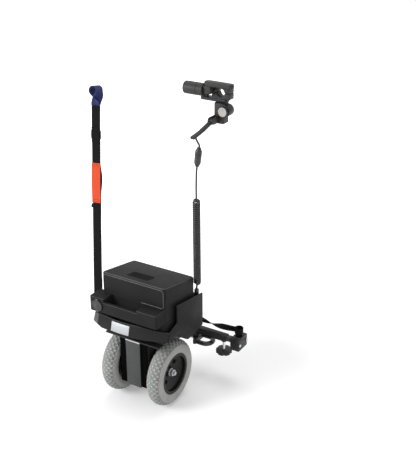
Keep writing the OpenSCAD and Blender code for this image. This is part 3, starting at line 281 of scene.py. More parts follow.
finishes = {
    "black_steel": coated("powder", "blackPowderCoat", (0.012, 0.012, 0.013), 0.42),
    "grey_steel": coated("powder", "greyPowderCoat", (0.056, 0.057, 0.058), 0.46),
    "bright_steel": coated("zinc", "zincSteel", (0.62, 0.62, 0.63), 0.3),
    "motor_steel": coated("powder", "motorEnamel", (0.010, 0.010, 0.011), 0.36, grain=260),
    "cast_case": coated("powder", "castCasePaint", (0.014, 0.014, 0.015), 0.5, grain=200),
    "tray_plastic": coated("moulded", "trayPlastic", (0.024, 0.024, 0.0245), 0.5, gloss=0.06),
    "battery_plastic": coated("moulded", "batteryPlastic", (0.019, 0.019, 0.0195), 0.5, gloss=0.06),
    "cell_plastic": coated("moulded", "cellPlastic", (0.10, 0.11, 0.13), 0.4),
    "control_plastic": coated("moulded", "controlPlastic", (0.021, 0.021, 0.020), 0.5, gloss=0.3),
    "dial_plastic": coated("moulded", "dialPlastic", (0.46, 0.44, 0.41), 0.52, 0.4, 900, 0.00006),
    "cord_rubber": coated("jacket", "cordJacket", (0.016, 0.016, 0.016), 0.3, 0.5),
    "black_webbing": wovenWebbing("blackWebbing", (0.0042, 0.0042, 0.0042), sheen=0.02),
    "red_webbing": wovenWebbing("redWebbing", (0.78, 0.080, 0.024)),
    "blue_webbing": wovenWebbing("blueWebbing", (0.024, 0.034, 0.15)),
    "buckle_plastic": coated("moulded", "bucklePlastic", (0.008, 0.008, 0.008), 0.36),
    "plate_silver": coated("brushed", "plateSilver", (0.42, 0.43, 0.44), 0.45),
    "contact_brass": coated("zinc", "contactBrass", (0.72, 0.52, 0.24), 0.28),
    "rim_black": coated("powder", "rimGlossPaint", (0.006, 0.006, 0.006), 0.3, 0.2, 180),
    "tyre_grey": coated("rubber", "tyreGrey", (0.415, 0.415, 0.397), 0.78),
}
labelBlank = coated("moulded", "labelFilm", (0.003, 0.003, 0.003), 0.6, 0.03, 2600, 0.00004)
# bright metal for a strip on the guard's top edge: a painted highlight
guardEdgeHighlight = coated("zinc", "paintedGuardHighlight", (0.55, 0.55, 0.56), 0.42, stretch=(12, 1, 1))
# darker, bluer grey for the tread's groove floors: painted shade in the grooves
treadGrooveShade = coated("rubber", "treadGrooveShade", (0.285, 0.305, 0.297), 0.78)
# lighter, glossier plastic: a painted highlight, used on the battery's rear bead and the tray lip's left end
paintedEdgeSheen = coated("moulded", "paintedEdgeSheen", (0.04, 0.04, 0.041), 0.34, gloss=0.6)
# lighter, glossier plastic for upward-facing edge roundings: edge wear with a painted highlight
rubbedEdgeHighlight = coated("moulded", "rubbedEdgeHighlight", (0.038, 0.038, 0.038), 0.42, gloss=0.3)
darkThread = coated("jacket", "darkThread", (0.10, 0.012, 0.008), 0.7)
blackThread = coated("jacket", "blackThread", (0.022, 0.022, 0.023), 0.7)
# near-black matt coat: painted shade on the chassis's rear webs beside the guard
paintedWebShade = coated("powder", "paintedShadeOnWebs", (0.0025, 0.0025, 0.0025), 0.85, gloss=0.02)
for nodeName, nodeObject in nodes.items():
    nodeObject.data.materials.clear()
    nodeObject.data.materials.append(finishes[slotOf[nodeName]])
print("finishes made:", len(finishes))


# modelling helpers

mergeReach = 2e-6  # metres


def selectOnly(piece):
    bpy.ops.object.select_all(action="DESELECT")
    piece.hide_viewport = False
    piece.select_set(True)
    bpy.context.view_layer.objects.active = piece


def edit(piece, *steps):
    # runs each step in edit mode, with everything selected before it
    selectOnly(piece)
    bpy.ops.object.mode_set(mode="EDIT")
    for step in steps:
        bpy.ops.mesh.select_all(action="SELECT")
        step()
    bpy.ops.object.mode_set(mode="OBJECT")


def pick(kind, test):
    # selects the faces, by centre and normal, or the edges, by both ends, that pass the test
    data = bpy.context.edit_object.data
    bpy.ops.mesh.select_all(action="DESELECT")
    bpy.ops.mesh.select_mode(type=kind)
    mesh = bmesh.from_edit_mesh(data)
    for item in mesh.faces if kind == "FACE" else mesh.edges:
        pair = (item.calc_center_median(), item.normal) if kind == "FACE" else [v.co for v in item.verts]
        item.select_set(bool(test(*pair)))
    mesh.select_flush_mode()
    bmesh.update_edit_mesh(data)


def modify(piece, kind, **values):
    selectOnly(piece)
    made = piece.modifiers.new(kind.lower(), kind)
    for key, value in values.items():
        setattr(made, key, value)
    bpy.ops.object.modifier_apply(modifier=made.name)


def softenEdges(piece, width, segments=2, angle=32):
    modify(piece, "BEVEL", width=mm(width), segments=segments, limit_method="ANGLE",
           angle_limit=radians(angle), use_clamp_overlap=False, miter_outer="MITER_ARC")


def roundEdges(piece, width, segments, test):
    def step():
        pick("EDGE", test)
        bpy.ops.mesh.bevel(offset=mm(width), segments=segments, profile=0.5)

    edit(piece, step)


def rounded(piece, rounds, soft=None):
    # rounds are width, segments and edge test, soft is width, segments and angle
    for row in rounds:
        roundEdges(piece, *row)
    if soft:
        softenEdges(piece, *soft)
    return piece


def along(way):
    # a test for edges that run that way
    return lambda a, b: abs((a - b).dot(way)) > 0.9 * (a - b).length


rightWay, backWay, upWay = Vector((1, 0, 0)), Vector((0, 1, 0)), Vector((0, 0, 1))
upright = along(upWay)


def offAxis(place, foot, way):
    away = place - foot
    return (away - away.dot(way) * way).length


def atHeight(height):
    # a test for edges that lie at that height
    level = spot(0, 0, height).z
    return lambda a, b: max(abs(a.z - level), abs(b.z - level)) < mm(0.1)


def settle(piece, body, node=None, slot=None, smooth=38, finish=None):
    slot = slot or slotOf[node]
    selectOnly(piece)
    bpy.ops.object.transform_apply(location=True, rotation=True, scale=True)
    piece.data.materials.clear()
    piece.data.materials.append(finish or finishes[slot])
    if smooth:
        bpy.ops.object.shade_smooth_by_angle(angle=radians(smooth))
    if body:
        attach(piece, body)
    if node:
        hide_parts(node)
    return piece


def secondTone(piece, finish, test):
    piece.data.materials.append(finish)
    for face in piece.data.polygons:
        if test(face.center, face.normal):
            face.material_index = len(piece.data.materials) - 1


def copyNode(node, name):
    # an own copy of a CAD solid, its loose triangles joined into clean faces
    piece = linked(name, nodes[node].data.copy())
    edit(piece, lambda: bpy.ops.mesh.remove_doubles(threshold=mergeReach),
         lambda: bpy.ops.mesh.dissolve_limited(angle_limit=radians(0.6)))
    return piece


def softened(node, width, segments=2, angle=32):
    piece = copyNode(node, node + "Finished")
    softenEdges(piece, width, segments, angle)
    return settle(piece, nodes[node]["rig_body"], node)


def tidyShell():
    bpy.ops.mesh.remove_doubles(threshold=mergeReach)
    bpy.ops.mesh.normals_make_consistent(inside=False)


def traced(name, points):
    # a line drawn by extruding one vertex from point to point
    piece = started(name, bpy.ops.mesh.primitive_plane_add, size=mm(1), location=(0, 0, 0))
    bpy.ops.object.mode_set(mode="EDIT")
    bpy.ops.mesh.select_mode(type="VERT")
    bpy.ops.mesh.select_all(action="SELECT")
    bpy.ops.mesh.merge(type="CENTER")
    bpy.ops.transform.translate(value=points[0])
    for a, b in zip(points, points[1:]):
        bpy.ops.mesh.extrude_region_move(TRANSFORM_OT_translate={"value": b - a})
    bpy.ops.object.mode_set(mode="OBJECT")
    return piece


def prism(name, points, way, rounds=(), soft=None):
    # a closed outline drawn flat and pulled along
    piece = traced(name, points)
    edit(piece, lambda: bpy.ops.mesh.edge_face_add(),
         lambda: bpy.ops.mesh.extrude_region_move(TRANSFORM_OT_translate={"value": way}), tidyShell)
    return rounded(piece, rounds, soft)


def lathed(name, profile, foot, way, steps=48):
    # profile rows are radius and height along the axis, spun about it
    axis = Vector(way).normalized()
    out = axis.orthogonal().normalized()
    piece = traced(name, [foot + out * mm(r) + axis * mm(h) for r, h in profile])
    edit(piece, lambda: bpy.ops.mesh.spin(steps=steps, angle=2 * pi, center=foot, axis=axis), tidyShell)
    return piece


def rod(r, low, high, ease):
    # the profile of a rod with its ends eased
    return [(0, low), (r - ease, low), (r, low + ease), (r, high - ease), (r - ease, high), (0, high)]


def block(name, low, high, rounds=(), soft=None):
    a, b = spot(*low), spot(*high)
    piece = started(name, bpy.ops.mesh.primitive_cube_add, size=1, location=(a + b) / 2)
    piece.scale = b - a
    bpy.ops.object.transform_apply(location=True, rotation=True, scale=True)
    return rounded(piece, rounds, soft)


def fused(piece, *others):
    for other in others:
        modify(piece, "BOOLEAN", operation="UNION", solver="EXACT", object=other)
        bpy.data.objects.remove(other)
    return piece


def arc(start, span, count):
    # cosine and sine at even steps, angles in degrees
    angles = [radians(start + span * k / count) for k in range(count + 1)]
    return [(cos(a), sin(a)) for a in angles]


def eased(value, start=0, end=1):
    share = min(max((value - start) / (end - start), 0), 1)
    return share * share * (3 - 2 * share)


def hump(value, low, high):
    t = (value - low) / (high - low)
    return sin(pi * t) ** 2 if 0 < t < 1 else 0.0


def smoothLine(points, perSpan=4):
    # a curve through the points, closely sampled
    ends = [2 * points[0] - points[1]] + points + [2 * points[-1] - points[-2]]
    line = []
    for i in range(1, len(ends) - 2):
        a, b, c, d = ends[i - 1:i + 3]
        for k in range(perSpan):
            t = k / perSpan
            line.append(0.5 * ((2 * b) + (c - a) * t + (2 * a - 5 * b + 4 * c - d) * t * t
                               + (3 * b - a - 3 * c + d) * t ** 3))
    return line + [points[-1]]


def lineLength(line):
    return sum((b - a).length for a, b in zip(line, line[1:]))


def tubeAlong(name, line, radius, resolution=4):
    bpy.ops.object.select_all(action="DESELECT")
    curve = bpy.data.curves.new(name, "CURVE")
    curve.dimensions = "3D"
    curve.bevel_depth = radius
    curve.bevel_resolution = resolution
    curve.use_fill_caps = True
    spline = curve.splines.new("POLY")
    spline.points.add(len(line) - 1)
    for point, place in zip(spline.points, line):
        point.co = (*place, 1)
    selectOnly(linked(name, curve))
    bpy.ops.object.convert(target="MESH")
    piece = bpy.context.active_object
    edit(piece, tidyShell)
    return piece


# control lead and curly cord, their upper places measured from the axis of the handle clamp

handlePlace = (220, 0, 960)
glandSettings = {"start": (-15, 62, -70), "end": (-35, 14, -93), "radius": 6.5, "tip": 4.0, "sleeve": 0.46,
                 "rings": 6, "ringsFrom": 0.48, "ringsRun": 0.5, "groove": 1.0}
plugSettings = {"start": (-45, 20, -145), "end": (-55, 26, -199), "radius": 9.5, "seam": 26, "grooves": 3,
                "grooveFrom": 12, "groovePitch": 3.4, "groove": 0.8}
leadSettings = {
    "radius": 2.8, "glandTail": 4, "plugTail": 8,  # straight ends
    "bends": [(-38, 8, -96.5), (-41.5, 3, -103), (-44, 3, -113), (-43.5, 10, -125)],
}
coilSettings = {
    "radius": 2.8, "top": (144, 55, 652), "foot": (106, 119, 350), "socket": (104, 118, 334),
    "bends": [(-55, 26, -199), (-56, 26.6, -204.4), (-59, 29, -220), (-64, 36, -245), (-70, 45, -272),
              (-74.5, 52.5, -299)],
    "curlRadius": 8.7, "curls": 42, "stepsPerCurl": 20,
    "swayFrom": (150, 45, 690), "swayTo": (119, 98, 452),  # where it leaves the bar and joins the unit
}


def fromHandle(offset):
    return spot(*[h + o for h, o in zip(handlePlace, offset)])


def makeGland():
    s = glandSettings
    start, end = fromHandle(s["start"]), fromHandle(s["end"])
    run = (end - start).length * 1000
    wide, tip, rings = s["radius"], s["tip"], s["rings"]
    profile = [(0, 0), (wide, 0), (wide, s["sleeve"] * run)]
    for k in range(rings):  # strain-relief rings, thinner towards the cord
        low = run * (s["ringsFrom"] + s["ringsRun"] * k / rings)
        r = wide - (wide - tip) * k / (rings - 1)
        neck = r - s["groove"]
        profile += [(neck, low), (neck, low + 1.3), (r, low + 1.8), (r, low + 3.8)]
    profile += [(tip, run), (0, run)]
    settle(lathed("glandSleeve", profile, start, end - start, 32), "frame_bar", "cable_gland", smooth=30)


def makePlugs():
    s = plugSettings
    start, end = fromHandle(s["start"]), fromHandle(s["end"])
    run = (end - start).length * 1000
    r, seam, neck = s["radius"], s["seam"], s["radius"] - s["groove"]
    grip = [(0, 0), (5.4, 0), (6.0, 0.8), (6.6, 4), (8.8, 8.4), (r, 10.2)]
    for k in range(s["grooves"]):
        low = s["grooveFrom"] + s["groovePitch"] * k
        grip += [(r, low), (neck, low + 0.5), (neck, low + 1.5), (r, low + 2.0)]
    grip += [(r, seam - 0.6), (r - 0.6, seam - 0.1), (0, seam - 0.1)]
    nut = [(0, seam + 0.1), (r - 0.6, seam + 0.1), (r, seam + 0.7), (r, seam + 9), (r - 0.7, seam + 9.6),
           (r - 0.7, seam + 11), (r - 0.1, seam + 11.6), (r - 0.1, run - 10.4), (8.6, run - 8.4), (6.6, run - 3.6),
           (6.0, run - 0.8), (5.4, run), (0, run)]
    return [settle(lathed(name, profile, start, end - start, 36), "frame_bar", node, smooth=30)
            for name, profile, node in (("leadPlugBody", grip, "lead_plug"),
                                        ("leadSocketBody", nut, "lead_socket"))]


def makeLead(plug, socket):
    s = leadSettings
    radius = mm(s["radius"])
    glandEnd, plugStart = fromHandle(glandSettings["end"]), fromHandle(plugSettings["start"])
    out = (glandEnd - fromHandle(glandSettings["start"])).normalized()
    down = (fromHandle(plugSettings["end"]) - plugStart).normalized()
    path = smoothLine([glandEnd, glandEnd + mm(s["glandTail"]) * out] + [fromHandle(p) for p in s["bends"]]
                      + [plugStart - mm(s["plugTail"]) * down, plugStart])
    lead = settle(tubeAlong("controlLead", path, radius), "frame_bar", "control_lead")
    print("control lead made,", round(lineLength(path), 3), "m")


def makeCoil():
    s = coilSettings
    radius = mm(s["radius"])
    top, foot, socket = (spot(*s[key]) for key in ("top", "foot", "socket"))
    axis = (foot - top).normalized()
    side = (backWay - axis * axis.y).normalized()
    other = axis.cross(side)
    path = smoothLine([fromHandle(p) for p in s["bends"]])
    for j in range(s["curls"] * s["stepsPerCurl"] + 1):
        turns = j / s["stepsPerCurl"]
        wide = mm(s["curlRadius"]) * eased(min(turns, s["curls"] - turns))
        angle = 2 * pi * turns
        path.append(top + (foot - top) * turns / s["curls"] + wide * (cos(angle) * side + sin(angle) * other))
    path += [socket + 2 * radius * upWay, socket]
    coil = settle(tubeAlong("curlyCord", path, radius), None, "coil_cord")
    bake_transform(coil)
    print("curly cord made,", round(lineLength(path), 3), "m of wire")


makeGland()
makeLead(*makePlugs())
makeCoil()


# lifting strap

strapSettings = {
    "bottom": (-150, -27, 287), "top": (-199, 75, 865), "width": 30, "thick": 1.6,
    "face": -4.1,  # middle of the webbing, off the anchor rod
    "turnedFace": -2.3, "turnedFrom": 14, "turnedTo": 76,  # the end that comes back round the rod
    "redFrom": 304, "redTo": 420, "redFace": -6.3, "redBulge": 1.4, "redThick": 2.2,
    "sliderAt": 502,
    "loopRise": 38, "loopRadius": 12.6, "loopFace": -3.3, "loopGap": 0.9, "loopSeam": 4, "loopThick": 2.0,
    "swayTop": 60, "swayFoot": 70,  # held lengths at both ends when the unit tilts
    "slack": (-6.0, 11, 0.32), "wave": (0.4, 0.5, 0.03),  # shift, face and turn
    "seamRows": (-10.5, 10.5), "seamFrom": 22, "seamPitch": 5, "seamCount": 9,
}
strapFoot = Vector(strapSettings["bottom"])
strapRun = Vector(strapSettings["top"]) - strapFoot
strapLength = strapRun.length
strapTurn = (Matrix.Rotation(atan2(strapRun.x, strapRun.z), 3, "Y")
             @ Matrix.Rotation(-asin(strapRun.y / strapLength), 3, "X"))
strapAcross = strapTurn @ rightWay


def onStrap(x, y, z):
    return spot(*(strapFoot + strapTurn @ Vector((x, y, z))))


def strapBlend(piece):
    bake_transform(piece)


def webbing(name, stations, width, thick, rows=8):
    # stations are centre, direction across; the grid is laid along them and given its thickness
    last = len(stations) - 1
    piece = started(name, bpy.ops.mesh.primitive_grid_add, x_subdivisions=rows, y_subdivisions=last, size=1)
    run = [0.0]
    for (a, _), (b, _) in zip(stations, stations[1:]):
        run.append(run[-1] + (b - a).length)
    places = []
    for vertex in piece.data.vertices:
        u = vertex.co.x + 0.5
        k = round((vertex.co.y + 0.5) * last)
        centre, across = stations[k]
        places.append((u * width, run[k] * 1000))
        vertex.co = centre + across * mm(width) * (u - 0.5)
    layer = piece.data.uv_layers.active.data
    for loop in piece.data.loops:
        layer[loop.index].uv = places[loop.vertex_index]
    modify(piece, "SOLIDIFY", thickness=mm(thick), offset=0, use_even_offset=True)
    return piece


def settleWeb(piece, body, node=None, slot="black_webbing"):
    # without a body, its placing is baked into the mesh
    settle(piece, body, node, slot, smooth=50)
    if body is None:
        strapBlend(piece)


def stitchRow(name, places, way, length=3.2, thick=0.7):
    # one thread stitch, copied to each place
    stitch = started("stitch", bpy.ops.mesh.primitive_cube_add, size=1, location=(0, 0, 0))
    stitch.scale = (mm(thick), mm(thick), mm(length))
    bpy.ops.object.transform_apply(scale=True)
    modify(stitch, "BEVEL", width=mm(thick * 0.3), segments=1)
    copies = []
    for place in places:
        copy = stitch.copy()
        copy.data = stitch.data.copy()
        copy.matrix_world = Matrix.Translation(place) @ way.to_track_quat("Z", "Y").to_matrix().to_4x4()
        bpy.context.scene.collection.objects.link(copy)
        copies.append(copy)
    bpy.data.objects.remove(stitch)
    selectOnly(copies[0])
    for copy in copies:
        copy.select_set(True)
    bpy.ops.object.join()
    copies[0].name = name
    return copies[0]


def strapStations(fromZ, toZ, count, shape):
    # shape gives sideways shift, face and turn of the webbing at a height
    made = []
    for k in range(count):
        z = fromZ + (toZ - fromZ) * k / (count - 1)
        x, y, turn = shape(z)
        across = Vector((cos(turn), sin(turn), 0))
        made.append((onStrap(x, y, z), (strapTurn @ across).normalized()))
    return made


def mainShape(z):
    # slack behind the red loop, and a slow wave
    s = strapSettings
    slack = hump(z, s["redFrom"] + 20, s["redTo"] + 6)
    wave = 0.5 * sin(z / 41) + 0.35 * sin(z / 23)
    shift, face, turn = (a * slack + b * wave for a, b in zip(s["slack"], s["wave"]))
    return shift, s["face"] + face, turn


def redShape(z):
    s = strapSettings
    return 0, s["redFace"] - s["redBulge"] * hump(z, s["redFrom"], s["redTo"]), 0


def makeStrap():
    s = strapSettings
    wide, thick, face = s["width"], s["thick"], s["face"]
    main = webbing("strapWebbing", strapStations(0, strapLength + 4, 150, mainShape), wide, thick)
    settleWeb(main, None, "strap_webbing")

    inner, rise = s["turnedFace"], s["turnedFrom"]
    turned = [(-face * c, -face * d) for c, d in arc(180, 180, 18)]
    turned += [(-face + (inner + face) * eased(k / 10), rise * k / 10) for k in range(1, 11)]
    turned += [(inner, rise + (s["turnedTo"] - rise) * k / 14) for k in range(1, 15)]
    doubled = webbing("strapDoubled", [(onStrap(0, y, z), strapAcross) for y, z in turned], wide - 0.6, thick)
    settleWeb(doubled, "drive_unit")

    red = webbing("strapRedLoop", strapStations(s["redFrom"], s["redTo"], 40, redShape), wide + 0.6, s["redThick"])
    settleWeb(red, None, "strap_red_loop", "red_webbing")

    tail = []  # a loose end that looks out under the red loop
    for k in range(12):
        t = k / 11
        tail.append((onStrap(-10 - 13 * t, face + 1.8 + 2 * t, s["redFrom"] - 12 - 3 * t + 5 * t * t),
                     strapTurn @ Vector((0.25, 0.1, 0.95)).normalized()))
    settleWeb(webbing("strapTail", tail, 11, thick, 4), None)


def makeStitches():
    s = strapSettings
    across = [-s["width"] / 2 + 3 + 4 * k for k in range(7)]
    heights = (s["redFrom"] + 4, s["redFrom"] + 9, s["redTo"] - 9, s["redTo"] - 4)
    tacks = [onStrap(x, redShape(z)[1] - 1.15, z) for z in heights for x in across]
    strapBlend(settle(stitchRow("redTacks", tacks, strapAcross), None, None, "red_webbing", 0, darkThread))
    seam = [s["seamFrom"] + s["seamPitch"] * k for k in range(s["seamCount"])]
    rows = [onStrap(x, mainShape(z)[1] - s["thick"] / 2 - 0.05, z) for x in s["seamRows"] for z in seam]
    settle(stitchRow("seamStitches", rows, strapTurn @ upWay), "drive_unit", None, "black_webbing", 0,
           blackThread)


makeStrap()
makeStitches()
print("strap webbing laid,", round(strapLength), "mm long")


def makeStrapLoop():
    # a blue loop at the strap's top, each leg turned a quarter between its seam and the bend
    s = strapSettings
    r, gap, face, middle = s["loopRadius"], s["loopGap"], s["face"], s["loopFace"]
    legs = {}
    for side in (-1, 1):
        legs[side] = []
        for k in range(15):
            t = k / 14
            turn = 0.5 * pi * eased(t)
            legs[side].append((onStrap(side * (gap + (r - gap) * eased(t)), face + (middle - face) * t,
                                       strapLength - s["loopSeam"] + (s["loopRise"] + s["loopSeam"]) * t),
                               strapTurn @ Vector((cos(turn), side * sin(turn), 0))))
    over = strapTurn @ -backWay
    bend = [(onStrap(r * c, middle, strapLength + s["loopRise"] + r * d), over)
            for c, d in arc(180, -180, 24)[1:-1]]
    back = [(place, -across if across.dot(over) < 0 else across) for place, across in reversed(legs[1])]
    loop = webbing("strapHandleLoop", legs[-1] + bend + back, s["width"], s["loopThick"])
    settleWeb(loop, "frame_bar", "strap_loop", "blue_webbing")


makeStrapLoop()


sliderSettings = {"width": 34, "height": 24, "bar": 5, "mid": 4.1, "side": 2.2, "thick": 4.2, "soft": 0.9,
                  "band": 22, "bandRise": 14}


def makeSlider():
    # three-bar slide: a plate with two windows, its edges rounded
    s, g = strapSettings, sliderSettings
    half, rise = g["width"] / 2, g["height"] / 2
    xs = [-half, -half + g["side"], half - g["side"], half]
    zs = [-rise, -rise + g["bar"], -g["mid"] / 2, g["mid"] / 2, rise - g["bar"], rise]
    columns, rows = len(xs) - 1, len(zs) - 1
    piece = started("strapSlider", bpy.ops.mesh.primitive_grid_add, x_subdivisions=columns, y_subdivisions=rows,
                    size=1)
    for v in piece.data.vertices:
        v.co = (mm(xs[round((v.co.x + 0.5) * columns)]), 0, mm(zs[round((v.co.y + 0.5) * rows)]))

    def cutWindows():
        pick("FACE", lambda c, n: abs(c.x) < mm(half - g["side"])
             and mm(g["mid"] / 2) < abs(c.z) < mm(rise - g["bar"]))
        bpy.ops.mesh.delete(type="FACE")

    edit(piece, cutWindows)
    modify(piece, "SOLIDIFY", thickness=mm(g["thick"]), offset=0)
    softenEdges(piece, g["soft"], 3, 50)
    at, face = s["sliderAt"], s["face"]
    piece.matrix_world = Matrix.Translation(onStrap(0, face - 0.4, at)) @ strapTurn.to_4x4()
    settle(piece, "frame_bar", "strap_slider")

    def overBar(z):
        return 0, face - 1.7 - 2.6 * hump(z, at - g["bandRise"], at + g["bandRise"]), 0

    band = strapStations(at - g["band"], at + g["band"], 30, overBar)
    settleWeb(webbing("sliderBand", band, s["width"] - 0.5, s["thick"]), "frame_bar")


makeSlider()
print("strap loop and slider made")


# tether strap with its half twist

tetherSettings = {"post": 62, "postRadius": 4, "tube": 212, "tubeRadius": 11.1, "y": 187, "z": 190, "width": 18,
                  "thick": 1.6, "gap": 0.5, "steps": 64, "sag": 5}


def makeTether():
    s = tetherSettings
    wide, thick, y, z = s["width"], s["thick"], s["y"], s["z"]
    off = s["gap"] + thick / 2
    near, far = s["post"] + s["postRadius"] + off, s["tube"] - s["tubeRadius"] - off
    stations = []
    for k in range(s["steps"] + 1):
        t = k / s["steps"]
        turn = pi * eased(t)
        stations.append((spot(near + (far - near) * t, y, z - s["sag"] * sin(pi * t)),
                         Vector((0, -sin(turn), cos(turn)))))
    strap = webbing("tetherStrap", stations, wide, thick, 6)
    rings = []
    for label, x, radius in (("Post", s["post"], s["postRadius"]), ("Tube", s["tube"], s["tubeRadius"])):
        r = radius + off
        ring = [(spot(x + r * c, y + r * d, z), upWay) for c, d in arc(0, 360, 48)]
        rings.append(webbing("tether" + label + "Loop", ring, wide, thick, 6))
    settle(strap, None, "tether_strap", smooth=50)
    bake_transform(strap)
    settleWeb(rings[0], "frame_bar", "tether_strap")
    settleWeb(rings[1], "right_arm", "tether_strap")


makeTether()
print("tether strap made")


# battery case

batterySettings = {
    "left": -113.8, "right": 104, "back": -51, "front": 107,
    "foot": 250.3, "split": 299.3, "top": 410.3, "fall": 30, "seam": 0.5,
    "baseCorner": 12, "footRadius": 2.5, "coverCorner": 9, "topRadius": 5, "ledgeTop": 2.2,
    "ledge": [  # low corner, high corner, corner radius
        ((-131, -93, 299.6), (-80, -41, 345.3), 6),
        ((32, -93, 299.6), (102, -41, 341.3), 6),
        ((-92, -93, 299.6), (44, -82, 333.3), 3),
    ],
}
# the bead's box, corner and radius, and the x where its painted highlight ends along the bottom
beadSettings = {"box": (-108, 345.5, 99, 403), "corner": 8, "radius": 1.3, "wearAndHighlight": 24}
labelSettings = {"box": (-44.5, -25, 28.5, 15), "thick": 0.4, "sink": 0.2, "corner": 3}
capSettings = {"middle": (-103, -93.2, 320.3), "radius": 18, "thick": 4, "hinge": (-103, -95.3, 340.3),
               "knuckle": 9, "earGap": 0.3, "earWidth": 3}


def coverTop(y):
    b = batterySettings
    return b["top"] - b["fall"] * (y - b["back"]) / (b["front"] - b["back"])


def makeBase():
    b = batterySettings
    base = block("batteryBaseShell", (b["left"], b["back"], b["foot"]),
                 (b["right"], b["front"], b["split"] - b["seam"]),
                 [(b["baseCorner"], 6, upright), (b["footRadius"], 3, atHeight(b["foot"]))], (0.5, 1, 60))
    settle(base, "battery_pack", "battery_base")


def makeCover():
    b, s = batterySettings, capSettings
    cover = block("batteryCoverShell", (b["left"], b["back"], b["split"] + b["seam"]),
                  (b["right"], b["front"], b["top"]))
    edge = spot(0, b["front"] - 1, b["top"] - 1)

    def lowerFront():
        pick("EDGE", lambda p, q: min(p.y, q.y) > edge.y and min(p.z, q.z) > edge.z)
        bpy.ops.transform.translate(value=(0, 0, -mm(b["fall"])))

    def onTop(p, q):
        return all(abs(v.z - spot(0, 0, coverTop(v.y * 1000 - drawingShift[1])).z) < mm(0.3) for v in (p, q))

    edit(cover, lowerFront)
    rounded(cover, [(b["coverCorner"], 6, upright), (b["topRadius"], 4, onTop)])
    parts = [block("ledgePart", low, high, [(radius, 4, upright), (b["ledgeTop"], 3, atHeight(high[2]))])
             for low, high, radius in b["ledge"]]
    x, y, z = s["hinge"]
    for side in (-1, 1):  # ears of the cap's hinge
        inner = x + side * (s["knuckle"] / 2 + s["earGap"])
        left, right = sorted((inner, inner + side * s["earWidth"]))
        parts.append(block("hingeEar", (left, y - 2, z - 2), (right, y + 4, z + 2), [(1.2, 3, along(rightWay))]))
    settle(fused(cover, *parts), "battery_pack", "battery_cover")
    # upward-facing roundings of the top edges take the lighter edge finish: worn edges with a painted highlight
    secondTone(cover, rubbedEdgeHighlight, lambda c, n: 0.35 < n.z < 0.96)


def makeBead():
    # moulded line round the rear face in a lighter finish, a painted highlight, left off its left side and lower
    # left
    s, back = beadSettings, batterySettings["back"]
    left, low, right, high = s["box"]
    r, wearAndHighlight = s["corner"], s["wearAndHighlight"]
    line = []
    for x, z, start in ((right - r, high - r, 0), (left + r, high - r, 90), (left + r, low + r, 180),
                        (right - r, low + r, 270)):
        line += [spot(x + r * c, back, z + r * d) for c, d in arc(start, 90, 8)]
        if start == 180:
            line.append(spot(wearAndHighlight, back, low))
    bead = tubeAlong("coverBead", line + line[:1], mm(s["radius"]), 3)
    settle(bead, "battery_pack", None, "battery_plastic", finish=paintedEdgeSheen)
    # its left side and lower left go back to the plain battery plastic, so the painted highlight runs along the
    # top, right side and lower right
    bright = spot(wearAndHighlight, back, high - r)
    secondTone(bead, finishes["battery_plastic"], lambda c, n: c.x < bright.x and c.z < bright.z)


def makeLabel():
    b, s = batterySettings, labelSettings
    left, near, right, far = s["box"]
    slope = Vector((0, sin(atan2(b["fall"], b["front"] - b["back"])), 1)).normalized()
    corners = [spot(x, y, coverTop(y)) for x, y in ((left, near), (right, near), (right, far), (left, far))]
    label = prism("labelFilmBlank", [c - slope * mm(s["sink"]) for c in corners],
                  slope * mm(s["thick"] + s["sink"]), [(s["corner"], 4, along(slope))], (0.15, 1, 60))
    settle(label, "battery_pack", None, "battery_plastic", finish=labelBlank)


def makeChargeCap():
    s = capSettings
    r, t, half, middle = s["radius"], s["thick"], s["knuckle"] / 2, s["middle"][2]
    face = [(0, 0.1), (r - 0.6, 0.1), (r, 0.7), (r, t - 1), (r - 0.8, t - 0.1), (r - 2.6, t), (r - 3.6, t - 0.9),
            (5, t - 0.9), (4, t - 0.3), (0, t - 0.2)]
    cap = lathed("chargeCap", face, spot(*s["middle"]), -backWay, 56)
    x, y, z = s["hinge"]
    strap = block("capStrap", (x - half, y - 1.6, middle + 10), (x + half, y + 1.6, z), [(0.8, 2, upright)])
    knuckle = lathed("capKnuckle", rod(2, -half, half, 0.3), spot(x, y, z), rightWay, 20)
    tab = block("capTab", (x - 5, y - 1.4, middle - r - 3), (x + 5, y + 1.2, middle - r + 4),
                [(1.2, 3, along(backWay))])
    settle(fused(cap, strap, knuckle, tab), "charge_flap", "charge_cap")


for make in (makeBase, makeCover, makeBead, makeLabel, makeChargeCap):
    make()
print("battery case and charging cap made")


# tyres

tyreSettings = {
    "planes": {"left_tyre": -81, "right_tyre": 81}, "axle": 102.5, "midRadius": 77.5,
    "section": 24.8, "carcass": 22.6,
    # the last number is how far above the groove floor the painted groove shade reaches
    "treadHalf": 58, "treadRows": 6, "steps": 76, "blockRim": 1.1, "blockRise": 2.4, "grooveShadeDepth": 0.9,
    "bead": [(64.4, 16.7), (58.2, 16.7)], "wallFrom": 59.5, "wallTo": 121.8, "wallRows": 8,
}


